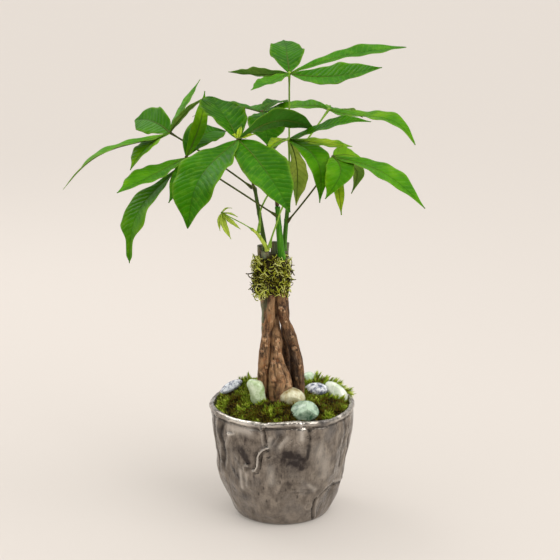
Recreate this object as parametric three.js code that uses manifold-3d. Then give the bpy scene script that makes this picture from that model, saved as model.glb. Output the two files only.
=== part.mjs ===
// A potted money tree: five braided trunks with a moss collar, five green shoots' worth of palmate
// leaves, and a rumpled glazed pot filled with soil, a bed of moss and seven tumbled pebbles.
// Millimetres, +Z up. The origin is the centre of the pot's flat foot. +X is to the viewer's right
// and +Y points away from the viewer.

import * as THREE from "three";
import { mergeVertices } from "three/addons/utils/BufferGeometryUtils.js";
import Module from "manifold-3d";

// Driving dimensions

const GAP = 0.35; // between touching pieces
const POT_HEIGHT = 111;
const POT_WALL = 5.5;
const POT_FLOOR = 7;
// The pot's outer radius at a few heights, from its foot to its rim
const POT_PROFILE = [[0, 44], [3, 47.5], [15, 53.5], [29, 59], [45, 63.5], [75, 67], [97, 69.6], [111, 70]];
const SOIL_TOP = 98;
const MOSS_EDGE = 107; // height of the moss at the pot's wall
const MOSS_CROWN = 12; // how much higher it is round the trunks
const TRUNK_FOOT = 84; // how deep the trunks stand in the soil
const COLLAR = { x: -10, y: -1, bottom: 220, top: 257.5, wide: 17.2, deep: 15.2 };
const TWINE_HEIGHT = 236;
const BLADE = 0.7; // thickness of a leaflet
const PETIOLE = 1.15; // radius of a leaf stalk
const HUB = 1.9; // radius of the knob where the leaflets meet

// The trunks: points down the middle, from the cut top to the soil, and radii from top to foot. A foot
// can flare out into root ridges.
const TRUNKS = {
  trunk_left_back: {
    path: [[-20, 6, 266.5], [-17.2, 7, 218], [-15.5, 7.5, 200], [-15, 8, 180], [-13, 9, 157], [-12, 10, 130], [-12, 10, TRUNK_FOOT]],
    top: 4.4, foot: 6, flare: 0,
  },
  trunk_left_front: {
    path: [[-16.4, -6, 263.5], [-15.8, -6.2, 254], [-10.7, -8, 223], [-10.6, -9, 211], [-11.8, -9, 198], [-15.2, -9, 183], [-17.3, -9, 162], [-18.6, -9, 143], [-19, -9, TRUNK_FOOT]],
    top: 3.7, foot: 6, flare: 0,
  },
  trunk_centre: {
    path: [[-7.6, 3, 270.5], [-7.5, 3, 223], [-7.6, -1, 199], [-6, -4.5, 183], [-5.3, -7.5, 171], [-5.4, -10, 158], [-3.6, -12.5, 146], [-1.8, -14, 131], [-1.8, -14, TRUNK_FOOT]],
    top: 3.5, foot: 7, flare: 4.6,
  },
  trunk_right_front: {
    path: [[0.5, -5.5, 257], [-1.5, -8, 223], [-0.8, -9, 211], [1.2, -9, 199], [6.8, -8.5, 183], [12.7, -7, 161], [14.3, -5, 145], [15, -3, 130], [15, -3, TRUNK_FOOT]],
    top: 4.3, foot: 7.2, flare: 0,
  },
  trunk_right_back: {
    path: [[3, 5, 269], [1.7, 5, 217], [2.2, 5.5, 199], [3, 8, 178], [3.5, 10, 147], [5, 10, 130], [5, 10, TRUNK_FOOT]],
    top: 3.8, foot: 5.6, flare: 0,
  },
};

// The green shoots: points up the middle from the trunk tops, and radii from base to tip.
const SHOOTS = {
  shoot_left: { path: [[-16, -4.5, 259], [-17, -4, 270], [-19.6, -3.5, 286], [-22.8, -2, 304], [-26.2, 0, 323.5]], base: 2.4, tip: 1.6 },
  shoot_young: { path: [[-13.5, -9.5, 262], [-15, -10, 267], [-18.3, -11, 273.2], [-23.4, -12.5, 281.2], [-29, -14.2, 286.5]], base: 2.5, tip: 1.25 },
  shoot_middle: { path: [[-0.3, -8, 255], [-1.2, -8, 265], [-3.1, -7, 284], [-4.1, -5, 298], [-4.6, -4, 306]], base: 3.7, tip: 2.2 },
  shoot_right: { path: [[1.8, -2, 263], [2.3, -1.2, 272], [3.6, -0.5, 288], [5.1, 0.6, 305], [5.4, 1, 310]], base: 2.4, tip: 1.8 },
};

// The leaves. stalk runs from the shoot to the hub where the leaflets meet.
// A leaflet is [bearing, rise, length, width, arch, crest, roll, belly, twist, sweep]: bearing is
// counter-clockwise from +X as seen from above, rise is the chord's angle above the level, arch is how far
// the midrib bows up from the chord, crest is how far along the chord it bows most, roll turns the blade
// about its midrib, belly is how far along it is widest, twist is how much more the tip is turned than
// the base, and sweep is how far the midrib bows to the left. Angles are in degrees.
const LEAVES = {
  leaf_top: {
    on: "shoot_right", stalk: [[5.3, 1, 308.5], [6.5, 9, 340], [6.5, 15, 380], [6.5, 10, 430]],
    leaflets: [
      [94, 20, 76, 34, 5, 0.45, 0], [153, -2, 65, 24, -1.5, 0.5, 15], [236, -11, 63, 24, 0, 0.55, 0],
      [25, 9, 127, 25, 3, 0.5, 14, 0.72], [327, 4.3, 99, 30, -5, 0.45, 35],
    ],
  },
  leaf_right_back: {
    on: "shoot_young", stalk: [[-22.6, -12, 282], [-21.4, -9, 292], [-20.8, -7.5, 302], [-18, -2.5, 308.5], [-13.6, 5, 315.5], [22, 30, 362], [45, 45, 392]],
    leaflets: [
      [330, -17, 96, 27, 13, 0.74, 7], [143, -5, 86, 22, 4.5, 0.35, -18], [105, -5, 60, 18, 2, 0.5, 0],
      [50, -13, 56, 22, 3, 0.5, 0],
    ],
  },
  leaf_centre: {
    on: "trunk_left_front", stalk: [[-12.2, -12.6, 268], [-10.7, -13, 275.5], [-5.9, -13, 290], [-2.2, -13, 301.5], [1.6, -13, 311], [6, -11, 335], [6, -8, 371]],
    leaflets: [
      [327, 14, 90, 23, 5, 0.65, 22], [299, -42, 77, 25, 17, 0.55, 6, 0.46, 0, 6], [52, -80, 66, 20, 8, 0.45, 10],
      [245, 1, 45, 12, 3, 0.5, 0], [140, -39, 40, 14, 4, 0.5, 0], [350, -5.5, 60, 22, -1, 0.6, 12, 0.6],
    ],
  },
  leaf_right: {
    on: "shoot_right", stalk: [[4.6, -0.5, 290.5], [17, -12, 308], [36, -28, 337], [46, -43, 359.2]],
    leaflets: [
      [322, -20, 106, 27, 8, 0.52, 8, 0.5], [38, -58, 43, 20, 14, 0.6, 0, 0.46, 0, -4],
      [262, -40, 48, 20, 8, 0.5, 0, 0.46, 0, 11], [294, -70, 54, 11, 2, 0.5, 10], [30, -8, 33, 24, 3, 0.45, 25],
    ],
  },
  leaf_front: {
    on: "shoot_left", stalk: [[-26.6, -2, 323], [-31, -14, 340], [-36, -34, 360], [-40, -50, 376]],
    leaflets: [
      [235, -43, 102, 51, 14, 0.55, 0, 0.56, 0, -2], [301, -30, 104, 42, 5, 0.5, 15, 0.46, 0, 1],
      [119, 29, 67, 45, 2, 0.5, 5, 0.55, 0, -3], [31, 2, 84, 30, 13, 0.5, -45],
    ],
  },
  leaf_left_high: {
    on: "shoot_left", stalk: [[-28.3, 1, 323], [-50, 6, 338], [-80, 14, 357], [-107, 20, 373]],
    leaflets: [
      [124, 4, 70, 30, 5, 0.45, -50, 0.58], [224, -18, 131, 24, 14, 0.62, 14, 0.42, 8], [238, -24, 68, 30, 5, 0.55, 12],
      [64, 37, 75, 14, 0, 0.45, -25, 0.46, 0, -2.5], [311, 35, 66, 11, 3, 0.5, 0],
    ],
  },
  leaf_left_low: {
    on: "shoot_middle", stalk: [[-4.6, -5.6, 297], [-19, -9.6, 307], [-30, -9.5, 314.5], [-62, -7, 335], [-90, -5, 353]],
    leaflets: [
      [61, 60, 68, 14, 0, 0.45, 30, 0.46, 0, -4.5], [62, 12, 77, 33, 11, 0.4, 22], [229, -14, 91, 30, 0, 0.5, -5, 0.5],
      [233, -47, 119, 36, 18, 0.63, 8, 0.66], [249, -26, 62, 12, 6, 0.5, 0, 0.5, 0, 4],
    ],
  },
  leaf_back: {
    on: "shoot_middle", stalk: [[-4.7, -3.6, 306.5], [-6.6, 1, 316], [-9, 8, 330], [-15, 35, 362], [-20, 60, 388]],
    leaflets: [
      [277, -24, 64, 37, 8, 0.5, 0, 0.6], [60, 3, 54, 20, 6, 0.5, 0], [340, -6, 38, 17, 3, 0.5, 0],
      [170, -5, 70, 26, 8, 0.5, 0], [120, -12, 66, 26, 8, 0.5, 0],
    ],
  },
  leaf_young: {
    on: "shoot_young", stalk: [[-28.6, -14.1, 286.2], [-35.1, -16.5, 290.8], [-46, -25, 298.5], [-56, -35, 306]],
    leaflets: [
      [43, 12, 13, 3.5, 2, 0.5, 0], [321, -29, 26, 7, -1, 0.5, 0], [295, -44, 30, 6.5, 0, 0.5, 0, 0.46, 0, -2],
      [266, -42, 21, 3.5, 2, 0.5, 0, 0.46, 0, -1.5], [345, -12, 16, 6, 1, 0.5, 0],
    ],
  },
};

// The pebbles, half sunk in the moss: [x, y, lift above the moss, length, width, thickness, turn, tilt].
const PEBBLES = {
  pebble_grey_left: [-51.5, 26, 7, 26, 16, 10, 25, -24],
  pebble_pale_tall: [-24, -20, 9.5, 18, 14, 26, 0, 0],
  pebble_honey: [9.6, -21, 4.5, 26, 20, 18, 0, 10],
  pebble_green: [22, -45, 3.5, 28, 22, 20, 0, 0],
  pebble_grey_right: [33.2, 12, 4, 21, 17, 13, 0, 0],
  pebble_milky: [52.5, 12.5, 5, 25.5, 14, 14, -37, 28],
  pebble_pale_back: [26.8, 46, 3.5, 15, 14, 14, 0, 0],
};

const wasm = await Module();
wasm.setup();

// Solids

// A closed three.js geometry as a solid that can be cut and joined
function solidOf(geometry) {
  const bare = geometry.clone();
  bare.deleteAttribute("normal");
  bare.deleteAttribute("uv");
  const merged = mergeVertices(bare, 1e-3);
  return new wasm.Manifold(
    new wasm.Mesh({
      numProp: 3,
      vertProperties: new Float32Array(merged.attributes.position.array),
      triVerts: new Uint32Array(merged.index.array),
    }),
  );
}

// The largest body of a solid: scraps that a cut leaves behind are dropped
function wholeOf(solid) {
  const bodies = solid.decompose();
  return bodies.sort((a, b) => b.volume() - a.volume())[0];
}

function geometryOf(solid) {
  const mesh = solid.getMesh();
  const geometry = new THREE.BufferGeometry();
  geometry.setAttribute("position", new THREE.BufferAttribute(mesh.vertProperties, 3));
  geometry.setIndex(new THREE.BufferAttribute(mesh.triVerts, 1));
  geometry.computeVertexNormals();
  return geometry;
}

// Moves every vertex of a geometry to where place(vertex) puts it
function reshape(geometry, place) {
  const position = geometry.attributes.position;
  const vertex = new THREE.Vector3();
  for (let i = 0; i < position.count; i++) {
    place(vertex.fromBufferAttribute(position, i));
    position.setXYZ(i, vertex.x, vertex.y, vertex.z);
  }
  return geometry;
}

const vectors = (path) => path.map((point) => new THREE.Vector3(...point));

// A round limb along a smooth curve. radius(t, angle) is its radius at t, from 0 at the start to 1.
function limb(path, radius, sides, steps) {
  const curve = new THREE.CatmullRomCurve3(vectors(path));
  const { tangents, normals, binormals } = curve.computeFrenetFrames(steps, false);
  const geometry = new THREE.CylinderGeometry(1, 1, 1, sides, steps);
  return reshape(geometry, (v) => {
    const t = v.y + 0.5;
    const step = Math.round(t * steps);
    const reach = Math.hypot(v.x, v.z) * radius(t, Math.atan2(v.z, v.x));
    const angle = Math.atan2(v.z, v.x);
    v.copy(curve.getPointAt(t))
      .addScaledVector(normals[step], reach * Math.cos(angle))
      .addScaledVector(binormals[step], -reach * Math.sin(angle));
  });
}

const mix = (a, b, t) => a + (b - a) * t;
const smooth = (low, high, x) => THREE.MathUtils.smoothstep(x, low, high);

// The pot

const potCurve = new THREE.SplineCurve(POT_PROFILE.map(([z, r]) => new THREE.Vector2(r, z)));

// Outer radius of the plain pot at a height
function potRadius(z) {
  const points = potCurve.getPoints(60);
  const above = points.findIndex((p) => p.y >= z);
  if (above <= 0) return points[above === 0 ? 0 : 60].x;
  const [low, high] = [points[above - 1], points[above]];
  return mix(low.x, high.x, (z - low.y) / (high.y - low.y));
}

// How far the rumpled wall stands out from or behind the plain pot
function rumple(angle, z) {
  const middle = smooth(0, 18, z) * (1 - 0.5 * smooth(95, POT_HEIGHT, z));
  const facets = 0.9 * Math.cos(7 * angle + 0.6) + 0.7 * Math.cos(4 * angle + z / 26);
  const folds = 0.8 * Math.sin(9 * angle - z / 15) + 0.6 * Math.sin(5 * angle + z / 11);
  // The right-hand side is pressed in a little below the middle
  const turn = Math.atan2(Math.sin(angle), Math.cos(angle));
  const dent = -4.2 * Math.exp(-((turn / 0.75) ** 2) - ((z - 38) / 26) ** 2);
  return middle * (facets + folds) + dent * smooth(0, 14, z);
}

// How far the rim dips or rises
const rimWave = (angle) => 0.9 * Math.cos(5 * angle + 1) + 0.7 * Math.sin(3 * angle);

function pot() {
  const outer = POT_PROFILE.flatMap(([z], i) => {
    const next = POT_PROFILE[i + 1];
    return next && next[0] - z > 20 ? [z, (z + next[0]) / 2] : [z];
  });
  const rim = [[POT_WALL * 0.25, POT_HEIGHT + 1], [POT_WALL * 0.75, POT_HEIGHT + 0.6]];
  const inner = [POT_HEIGHT - 2, 92, 60, 30, 14, POT_FLOOR];
  const profile = [
    new THREE.Vector2(0, 0),
    ...outer.map((z) => new THREE.Vector2(potRadius(z), z)),
    ...rim.map(([inset, z]) => new THREE.Vector2(potRadius(POT_HEIGHT) - inset, z)),
    ...inner.map((z) => new THREE.Vector2(potRadius(z) - POT_WALL, z)),
    new THREE.Vector2(0, POT_FLOOR),
  ];
  const turned = new THREE.LatheGeometry(profile, 40).rotateX(Math.PI / 2);
  return solidOf(
    reshape(turned, (v) => {
      const radius = Math.hypot(v.x, v.y);
      const angle = Math.atan2(v.y, v.x);
      if (radius > potRadius(v.z) - 1 && v.z < POT_HEIGHT) {
        const grown = radius + rumple(angle, v.z);
        v.set(grown * Math.cos(angle), grown * Math.sin(angle), v.z);
      }
      v.z += smooth(90, POT_HEIGHT, v.z) * rimWave(angle);
    }),
  );
}

// Soil and moss

function soil(cut) {
  const levels = [POT_FLOOR + GAP, 14, 30, 60, SOIL_TOP];
  const profile = [
    new THREE.Vector2(0, POT_FLOOR + GAP),
    ...levels.map((z) => new THREE.Vector2(potRadius(z) - POT_WALL - 2 * GAP, z)),
    new THREE.Vector2(0, SOIL_TOP),
  ];
  return solidOf(new THREE.LatheGeometry(profile, 28).rotateX(Math.PI / 2)).subtract(cut);
}

// Height of the moss bed's smooth surface, piled higher at the back, with a hollow at the right
function mossHeight(x, y) {
  const out = Math.min(1, Math.hypot(x, y) / 64);
  const mound = 7 * smooth(15, 45, y) * (1 - out ** 6);
  const hollow = 3.5 * Math.exp(-(((x - 36) / 13) ** 2) - ((y + 4) / 11) ** 2);
  return MOSS_EDGE + MOSS_CROWN * (1 - out ** 2.6) + mound - hollow;
}

// The cushions and tufts that stand out of that surface
function tufts(x, y) {
  const cushions = 1.6 * Math.sin(x / 7.3 + 1.1) * Math.sin(y / 6.1 + 0.4);
  const heads = 1.5 * Math.abs(Math.sin(x / 2.9 + y / 5.1) * Math.cos(y / 2.7 - x / 6.3));
  return cushions + heads;
}

function mossBed(cut) {
  const rings = [63, 57, 50, 43, 36, 29, 21, 12];
  const bottom = SOIL_TOP + GAP;
  const profile = [
    new THREE.Vector2(0, bottom),
    new THREE.Vector2(60.5, bottom),
    ...rings.map((r) => new THREE.Vector2(r, bottom + 3)),
    new THREE.Vector2(0, bottom + 3),
  ];
  const turned = new THREE.LatheGeometry(profile, 31).rotateX(Math.PI / 2);
  const bed = reshape(turned, (v) => {
    if (v.z > bottom + 1) v.z = mossHeight(v.x, v.y) + tufts(v.x, v.y) * (Math.hypot(v.x, v.y) > 62 ? 0.2 : 1);
  });
  return wholeOf(solidOf(bed).subtract(cut));
}

// Trunks and shoots

// Bark swells at old leaf scars. A flared foot has six root ridges round it.
function trunkLimb({ path, top, foot, flare }, grow) {
  const radius = (t, angle) => {
    const scars = 0.35 * Math.sin(t * 31 + path[0][0]) * (1 - 0.4 * t);
    const spread = flare * smooth(0.55, 0.75, t);
    return mix(top, foot, smooth(0.1, 0.95, t)) + scars + spread + 0.3 * spread * Math.cos(6 * angle) + grow;
  };
  return solidOf(limb(path, radius, flare > 0 ? 12 : 9, 13));
}

const shootLimb = ({ path, base, tip }, grow) => solidOf(limb(path, (t) => mix(base, tip, t) + grow, 8, 7));

// Where the middle of a trunk is at a height
function trunkAt(path, height) {
  const points = new THREE.CatmullRomCurve3(vectors(path)).getPoints(80);
  return points.find((point) => point.z <= height);
}

// The twine that holds the braid together, two turns pulled tight round the trunks and hidden in the moss
// collar
function twine(grow) {
  const turns = 2;
  const around = 12;
  const clear = 1.3;
  const bound = Object.values(TRUNKS).map(({ path, top }) => ({ middle: trunkAt(path, TWINE_HEIGHT), reach: top + clear }));
  const path = [];
  for (let i = 0; i <= turns * around; i++) {
    const outward = new THREE.Vector3(1, 0, 0).applyAxisAngle(new THREE.Vector3(0, 0, 1), (i / around) * 2 * Math.PI);
    const outermost = bound.reduce((a, b) => (b.middle.dot(outward) + b.reach > a.middle.dot(outward) + a.reach ? b : a));
    const { x, y } = outermost.middle.clone().addScaledVector(outward, outermost.reach);
    path.push([x, y, TWINE_HEIGHT + (2.6 * i) / around]);
  }
  return solidOf(limb(path, () => 0.9 + grow, 5, 30));
}

// The collar: a band of moss round the trunk tops, with curled strands standing out of it. It follows
// the braid, so it is squarer than an ellipse.
function collar(cut, random) {
  const { x, y, bottom, top, wide, deep } = COLLAR;
  const squared = (v) => Math.sign(v) * Math.abs(v) ** 0.75;
  const around = (angle, reach) => [x + reach * wide * squared(Math.cos(angle)), y + reach * deep * squared(Math.sin(angle))];
  const band = new THREE.CylinderGeometry(1, 1, 1, 16, 5).rotateX(Math.PI / 2);
  const core = solidOf(
    reshape(band, (v) => {
      const angle = Math.atan2(v.y, v.x);
      const height = mix(bottom, top, v.z + 0.5);
      const bulge = 1 - 0.08 * Math.abs(2 * v.z) + 0.05 * Math.sin(5 * angle + height / 5) + 0.04 * Math.sin(3 * angle - height / 3);
      const ragged = 1.6 * Math.sin(4 * angle + 1) * (2 * Math.abs(v.z)) ** 6;
      const [edgeX, edgeY] = around(angle, Math.hypot(v.x, v.y) * bulge);
      v.set(edgeX, edgeY, height + ragged);
    }),
  );
  const strands = [];
  const count = 18;
  for (let i = 0; i < count; i++) {
    const angle = i * 2.39996;
    const height = mix(bottom + 2, top - 2, (i + 0.5) / count);
    const root = [...around(angle, 0.86), height];
    const reach = 4.5 + 3.5 * random();
    const lean = angle + 1.6 * (random() - 0.5);
    const drop = 5 * (random() - 0.55);
    const tip = [root[0] + reach * Math.cos(lean), root[1] + reach * Math.sin(lean), height + drop];
    const knee = [mix(root[0], tip[0], 0.55), mix(root[1], tip[1], 0.55), height - drop * 0.4 + 1];
    strands.push(solidOf(limb([root, knee, tip], (t) => mix(1.1, 0.5, t), 3, 2)));
  }
  return wholeOf(wasm.Manifold.union([core, ...strands]).subtract(cut));
}

// Leaves

// Half width of a leaflet along its length, as a share of its greatest, with a drawn-out drip tip
function outline(t, belly) {
  const body = Math.sin(Math.PI * t ** (Math.log(0.5) / Math.log(belly))) ** 0.9;
  return body * (1 - 0.42 * smooth(0.74, 0.98, t));
}

// A thin arched blade, folded up a little along its midrib. Both faces are split into triangles alike.
function leaflet(hub, [bearing, rise, length, width, arch, crest, roll, belly = 0.46, twist = 0, sweep = 0], phase) {
  const [b, r] = [bearing, rise].map(THREE.MathUtils.degToRad);
  const along = new THREE.Vector3(Math.cos(b) * Math.cos(r), Math.sin(b) * Math.cos(r), Math.sin(r));
  const up = new THREE.Vector3(0, 0, 1).addScaledVector(along, -along.z).normalize();
  const side = new THREE.Vector3().crossVectors(up, along);
  const early = Math.log(0.5) / Math.log(crest);
  const midrib = (t) =>
    hub
      .clone()
      .addScaledVector(along, length * t)
      .addScaledVector(up, arch * Math.sin(Math.PI * t ** early))
      .addScaledVector(side, sweep * Math.sin(Math.PI * t));
  const rows = length < 35 ? 4 : 8;
  const columns = 2;
  const fold = THREE.MathUtils.degToRad(14);
  const vertices = [];
  for (const face of [1, -1]) {
    for (let i = 0; i <= rows; i++) {
      const t = i / rows;
      const tangent = midrib(Math.min(t + 0.01, 1)).sub(midrib(Math.max(t - 0.01, 0))).normalize();
      const across = side.clone().applyAxisAngle(tangent, THREE.MathUtils.degToRad(roll + twist * t));
      const normal = new THREE.Vector3().crossVectors(tangent, across);
      const half = Math.max(0.65, (width / 2) * outline(t, belly));
      const wave = 0.09 * half * Math.sin(13 * t + phase);
      for (let j = 0; j <= columns; j++) {
        const u = (2 * j) / columns - 1;
        const lift = Math.abs(u) * (half * Math.sin(fold) + wave * Math.sign(u));
        vertices.push(
          midrib(t)
            .addScaledVector(across, u * half * Math.cos(fold))
            .addScaledVector(normal, lift + (face * BLADE) / 2),
        );
      }
    }
  }
  const stride = columns + 1;
  const lower = (rows + 1) * stride;
  const index = [];
  const wall = (a, c) => index.push(a, c, a + lower, c, c + lower, a + lower);
  for (let i = 0; i < rows; i++) {
    for (let j = 0; j < columns; j++) {
      const a = i * stride + j;
      const [c, d, e] = [a + 1, a + stride, a + stride + 1];
      index.push(a, d, c, c, d, e);
      index.push(a + lower, c + lower, d + lower, c + lower, e + lower, d + lower);
    }
    wall((i + 1) * stride, i * stride);
    wall(i * stride + columns, (i + 1) * stride + columns);
  }
  for (let j = 0; j < columns; j++) {
    wall(j, j + 1);
    wall(rows * stride + j + 1, rows * stride + j);
  }
  const geometry = new THREE.BufferGeometry().setFromPoints(vertices);
  return geometry.setIndex(index);
}

// A palmate leaf: its stalk, the knob at the stalk's end, and the leaflets that spread from it
function leaf({ stalk, leaflets }, cut) {
  const hub = new THREE.Vector3(...stalk.at(-1));
  const small = Math.max(...leaflets.map(([, , length]) => length)) < 35;
  const scale = small ? 0.62 : 1;
  const stem = limb(stalk, (t) => scale * (PETIOLE + 0.9 * (1 - smooth(0, 0.1, t)) + 0.3 * smooth(0.9, 1, t)), 5, 8);
  const knob = new THREE.IcosahedronGeometry(HUB * scale, small ? 0 : 1).translate(...hub.toArray());
  const blades = leaflets.map((shape, i) => solidOf(leaflet(hub, shape, i * 1.9)));
  return wholeOf(wasm.Manifold.union([solidOf(stem), solidOf(knob), ...blades]).subtract(cut));
}

// Pebbles

// A tumbled stone: an egg with a few soft flats
function pebble([x, y, lift, length, width, thickness, turn, tilt], seed, grow) {
  const stone = new THREE.IcosahedronGeometry(1, 2);
  reshape(stone, (v) => {
    const lumps = 1 + 0.07 * Math.sin(2.3 * v.x + seed) + 0.06 * Math.sin(3.1 * v.y - 2 * seed) + 0.06 * Math.sin(2.7 * v.z + 3 * seed);
    v.multiplyScalar(lumps);
    v.set((length / 2 + grow) * v.x, (width / 2 + grow) * v.y, (thickness / 2 + grow) * v.z);
  });
  stone.rotateY(THREE.MathUtils.degToRad(tilt)).rotateZ(THREE.MathUtils.degToRad(turn));
  return solidOf(stone.translate(x, y, mossHeight(x, y) + lift));
}

// Materials

const material = (color, roughness, metalness = 0) => new THREE.MeshStandardMaterial({ color, roughness, metalness });
const glaze = material(0x77706b, 0.32, 0.75);
const earth = material(0x2e2119, 0.95);
const bark = material(0x6b4a35, 0.85);
const moss = material(0x4d5f16, 0.95);
const collarMoss = material(0x6a6a22, 0.95);
const jute = material(0x8a6f45, 0.9);
const stemGreen = material(0x3f7420, 0.5);
const youngGreen = material(0x9dbb35, 0.5);
const leafGreen = material(0x3c8a1c, 0.4);
const stones = {
  pebble_grey_left: 0xb4bac6,
  pebble_pale_tall: 0xbcd2a6,
  pebble_honey: 0xcbc793,
  pebble_green: 0x9dc3a2,
  pebble_grey_right: 0xa9b0bb,
  pebble_milky: 0xdfe7d6,
  pebble_pale_back: 0xc3dbba,
};

// Assembly

const tree = new THREE.Group();

function add(name, solid, look) {
  const mesh = new THREE.Mesh(geometryOf(solid), look);
  mesh.name = name;
  tree.add(mesh);
}

// A small repeatable random sequence
function sequence(seed) {
  let state = seed;
  return () => {
    state = (state * 16807) % 2147483647;
    return state / 2147483647;
  };
}

add("pot", pot(), glaze);

// Each trunk is trimmed where it presses against the ones before it
const trunkSolids = {};
const grownTrunks = [];
for (const [name, shape] of Object.entries(TRUNKS)) {
  let trunk = trunkLimb(shape, 0);
  if (grownTrunks.length) trunk = wholeOf(trunk.subtract(wasm.Manifold.union(grownTrunks)));
  trunkSolids[name] = trunk;
  grownTrunks.push(trunkLimb(shape, GAP));
  add(name, trunk, bark);
}
const trunks = wasm.Manifold.union(grownTrunks);

// Each shoot sits against the trunk tops, and against the shoots before it
const grownShoots = [];
for (const [name, shape] of Object.entries(SHOOTS)) {
  const shoot = shootLimb(shape, 0).subtract(wasm.Manifold.union([trunks, ...grownShoots]));
  grownShoots.push(shootLimb(shape, GAP));
  add(name, wholeOf(shoot), name === "shoot_young" ? youngGreen : stemGreen);
}
const woody = wasm.Manifold.union([trunks, ...grownShoots]);

for (const [name, shape] of Object.entries(LEAVES)) {
  add(name, leaf(shape, woody), name === "leaf_young" ? youngGreen : leafGreen);
}

const centreStalk = LEAVES.leaf_centre.stalk;
const stalkRoom = solidOf(limb(centreStalk, () => PETIOLE + 1 + GAP, 6, 9));
const bound = wasm.Manifold.union([woody, stalkRoom]);
add("twine", wholeOf(twine(0).subtract(woody)), jute);
add("moss_collar", collar(wasm.Manifold.union([bound, twine(GAP)]), sequence(7)), collarMoss);

Object.entries(PEBBLES).forEach(([name, shape], i) => add(name, pebble(shape, i + 1, 0).subtract(trunks), material(stones[name], 0.25)));
const dents = Object.values(PEBBLES).map((shape, i) => pebble(shape, i + 1, GAP));
add("soil", wholeOf(soil(wasm.Manifold.union([trunks, ...dents]))), earth);
add("moss_bed", mossBed(wasm.Manifold.union([trunks, ...dents])), moss);

export default tree;
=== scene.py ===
import math
import random

import bpy
import numpy as np
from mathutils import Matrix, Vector, noise


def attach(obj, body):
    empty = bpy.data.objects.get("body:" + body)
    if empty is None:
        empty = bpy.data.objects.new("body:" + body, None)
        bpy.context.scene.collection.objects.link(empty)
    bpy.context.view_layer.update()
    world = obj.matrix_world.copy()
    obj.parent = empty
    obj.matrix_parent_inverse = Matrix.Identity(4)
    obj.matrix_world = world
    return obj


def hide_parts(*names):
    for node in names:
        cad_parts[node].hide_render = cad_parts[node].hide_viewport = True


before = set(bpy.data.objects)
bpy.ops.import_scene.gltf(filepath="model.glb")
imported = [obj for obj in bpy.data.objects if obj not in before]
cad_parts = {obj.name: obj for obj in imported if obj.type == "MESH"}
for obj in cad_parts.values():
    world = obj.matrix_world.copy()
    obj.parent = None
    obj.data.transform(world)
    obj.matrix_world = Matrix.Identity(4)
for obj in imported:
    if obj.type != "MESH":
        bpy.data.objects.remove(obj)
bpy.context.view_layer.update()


# The camera
# It stands 1.3 m in front of the pot, a little above the leaves, and looks slightly down.
bpy.ops.object.camera_add(
    location=(-0.0022, -1.3, 0.548), rotation=(math.radians(90 - 13.6), 0, 0)
)
camera = bpy.context.object
camera.name = "camera"
camera.data.angle = math.radians(22.75)
camera.data.clip_end = 60
bpy.context.scene.camera = camera


# The pot
# A hand-built cachepot in a dark pewter glaze. The wall was rumpled while the clay was soft, so it
# has facets, wrinkles and one curled seam at the front, and its rim is folded over in a thin band,
# worn bright in places and painted brighter still with highlights.
MM = 0.001
POT_HEIGHT = 111
POT_WALL = 5.5
POT_FLOOR = 7
POT_COLUMNS = 480
# The rolled lip: its middle as (radius, mm up), and its half width and half height
LIP_MIDDLE = 67.4, 110
LIP_HALF = 2.6, 2.5
# The mean radius at which the wall is unrolled, to measure along it
WALL_RADIUS = 66
# The wall's plain turned shape: (mm up, radius in mm)
POT_PROFILE = [(0, 44), (3, 47.5), (15, 53.5), (29, 59), (45, 63.5), (75, 67), (97, 69.6), (111, 70)]
# Folds of the wall: height in mm (below zero is a groove), half width in mm, and the line that it
# follows in degrees round the pot and mm up it
CURLED_SEAM = [
    (-1.0, 0.9, [(-104.2, 108), (-103.2, 98), (-102.4, 89)]),
    (0.9, 1.2, [(-106.4, 108), (-105.6, 98), (-105.2, 89)]),
    (2.8, 0.8, [
        (-101.8, 87), (-105, 85.5), (-108.6, 81), (-110, 77), (-110.2, 72), (-110.6, 67), (-112.4, 63.4),
        (-115, 62),
    ]),
    (-1.1, 1.0, [
        (-100.4, 84.5), (-104.5, 82.5), (-107.3, 78), (-108, 72), (-108.4, 66), (-110.4, 61), (-114, 59.2),
    ]),
    (-0.8, 1.1, [(-104, 89), (-108.5, 85.5), (-112, 79), (-112.4, 70), (-114, 65)]),
    (1.3, 1.1, [(-118, 66), (-120, 68), (-122.3, 65.5), (-122.8, 60)]),
    (-0.9, 1.2, [(-116.5, 64.5), (-119.5, 63.5), (-120.8, 60)]),
]
LEFT_FOLDS = [
    (1.0, 2.0, [(-136, 108), (-138, 98), (-137, 92), (-142, 81), (-145, 63), (-152, 45)]),
    (-1.1, 2.2, [(-142, 106), (-147, 92), (-145, 77), (-150, 60), (-149, 52)]),
    (1.1, 1.6, [(-150, 108), (-151.5, 92), (-149, 80), (-154, 62)]),
    (-1.1, 2.0, [(-157, 108), (-155, 89), (-160, 74), (-158, 60), (-162, 47)]),
    (0.8, 1.6, [(-163, 100), (-160, 84), (-165, 68)]),
    (0.9, 1.5, [(-138, 94), (-135, 94.6), (-132, 96)]),
    (0.6, 1.4, [(-126, 60), (-128, 40)]),
    (0.6, 1.2, [(-120, 58), (-122, 44)]),
]
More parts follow.
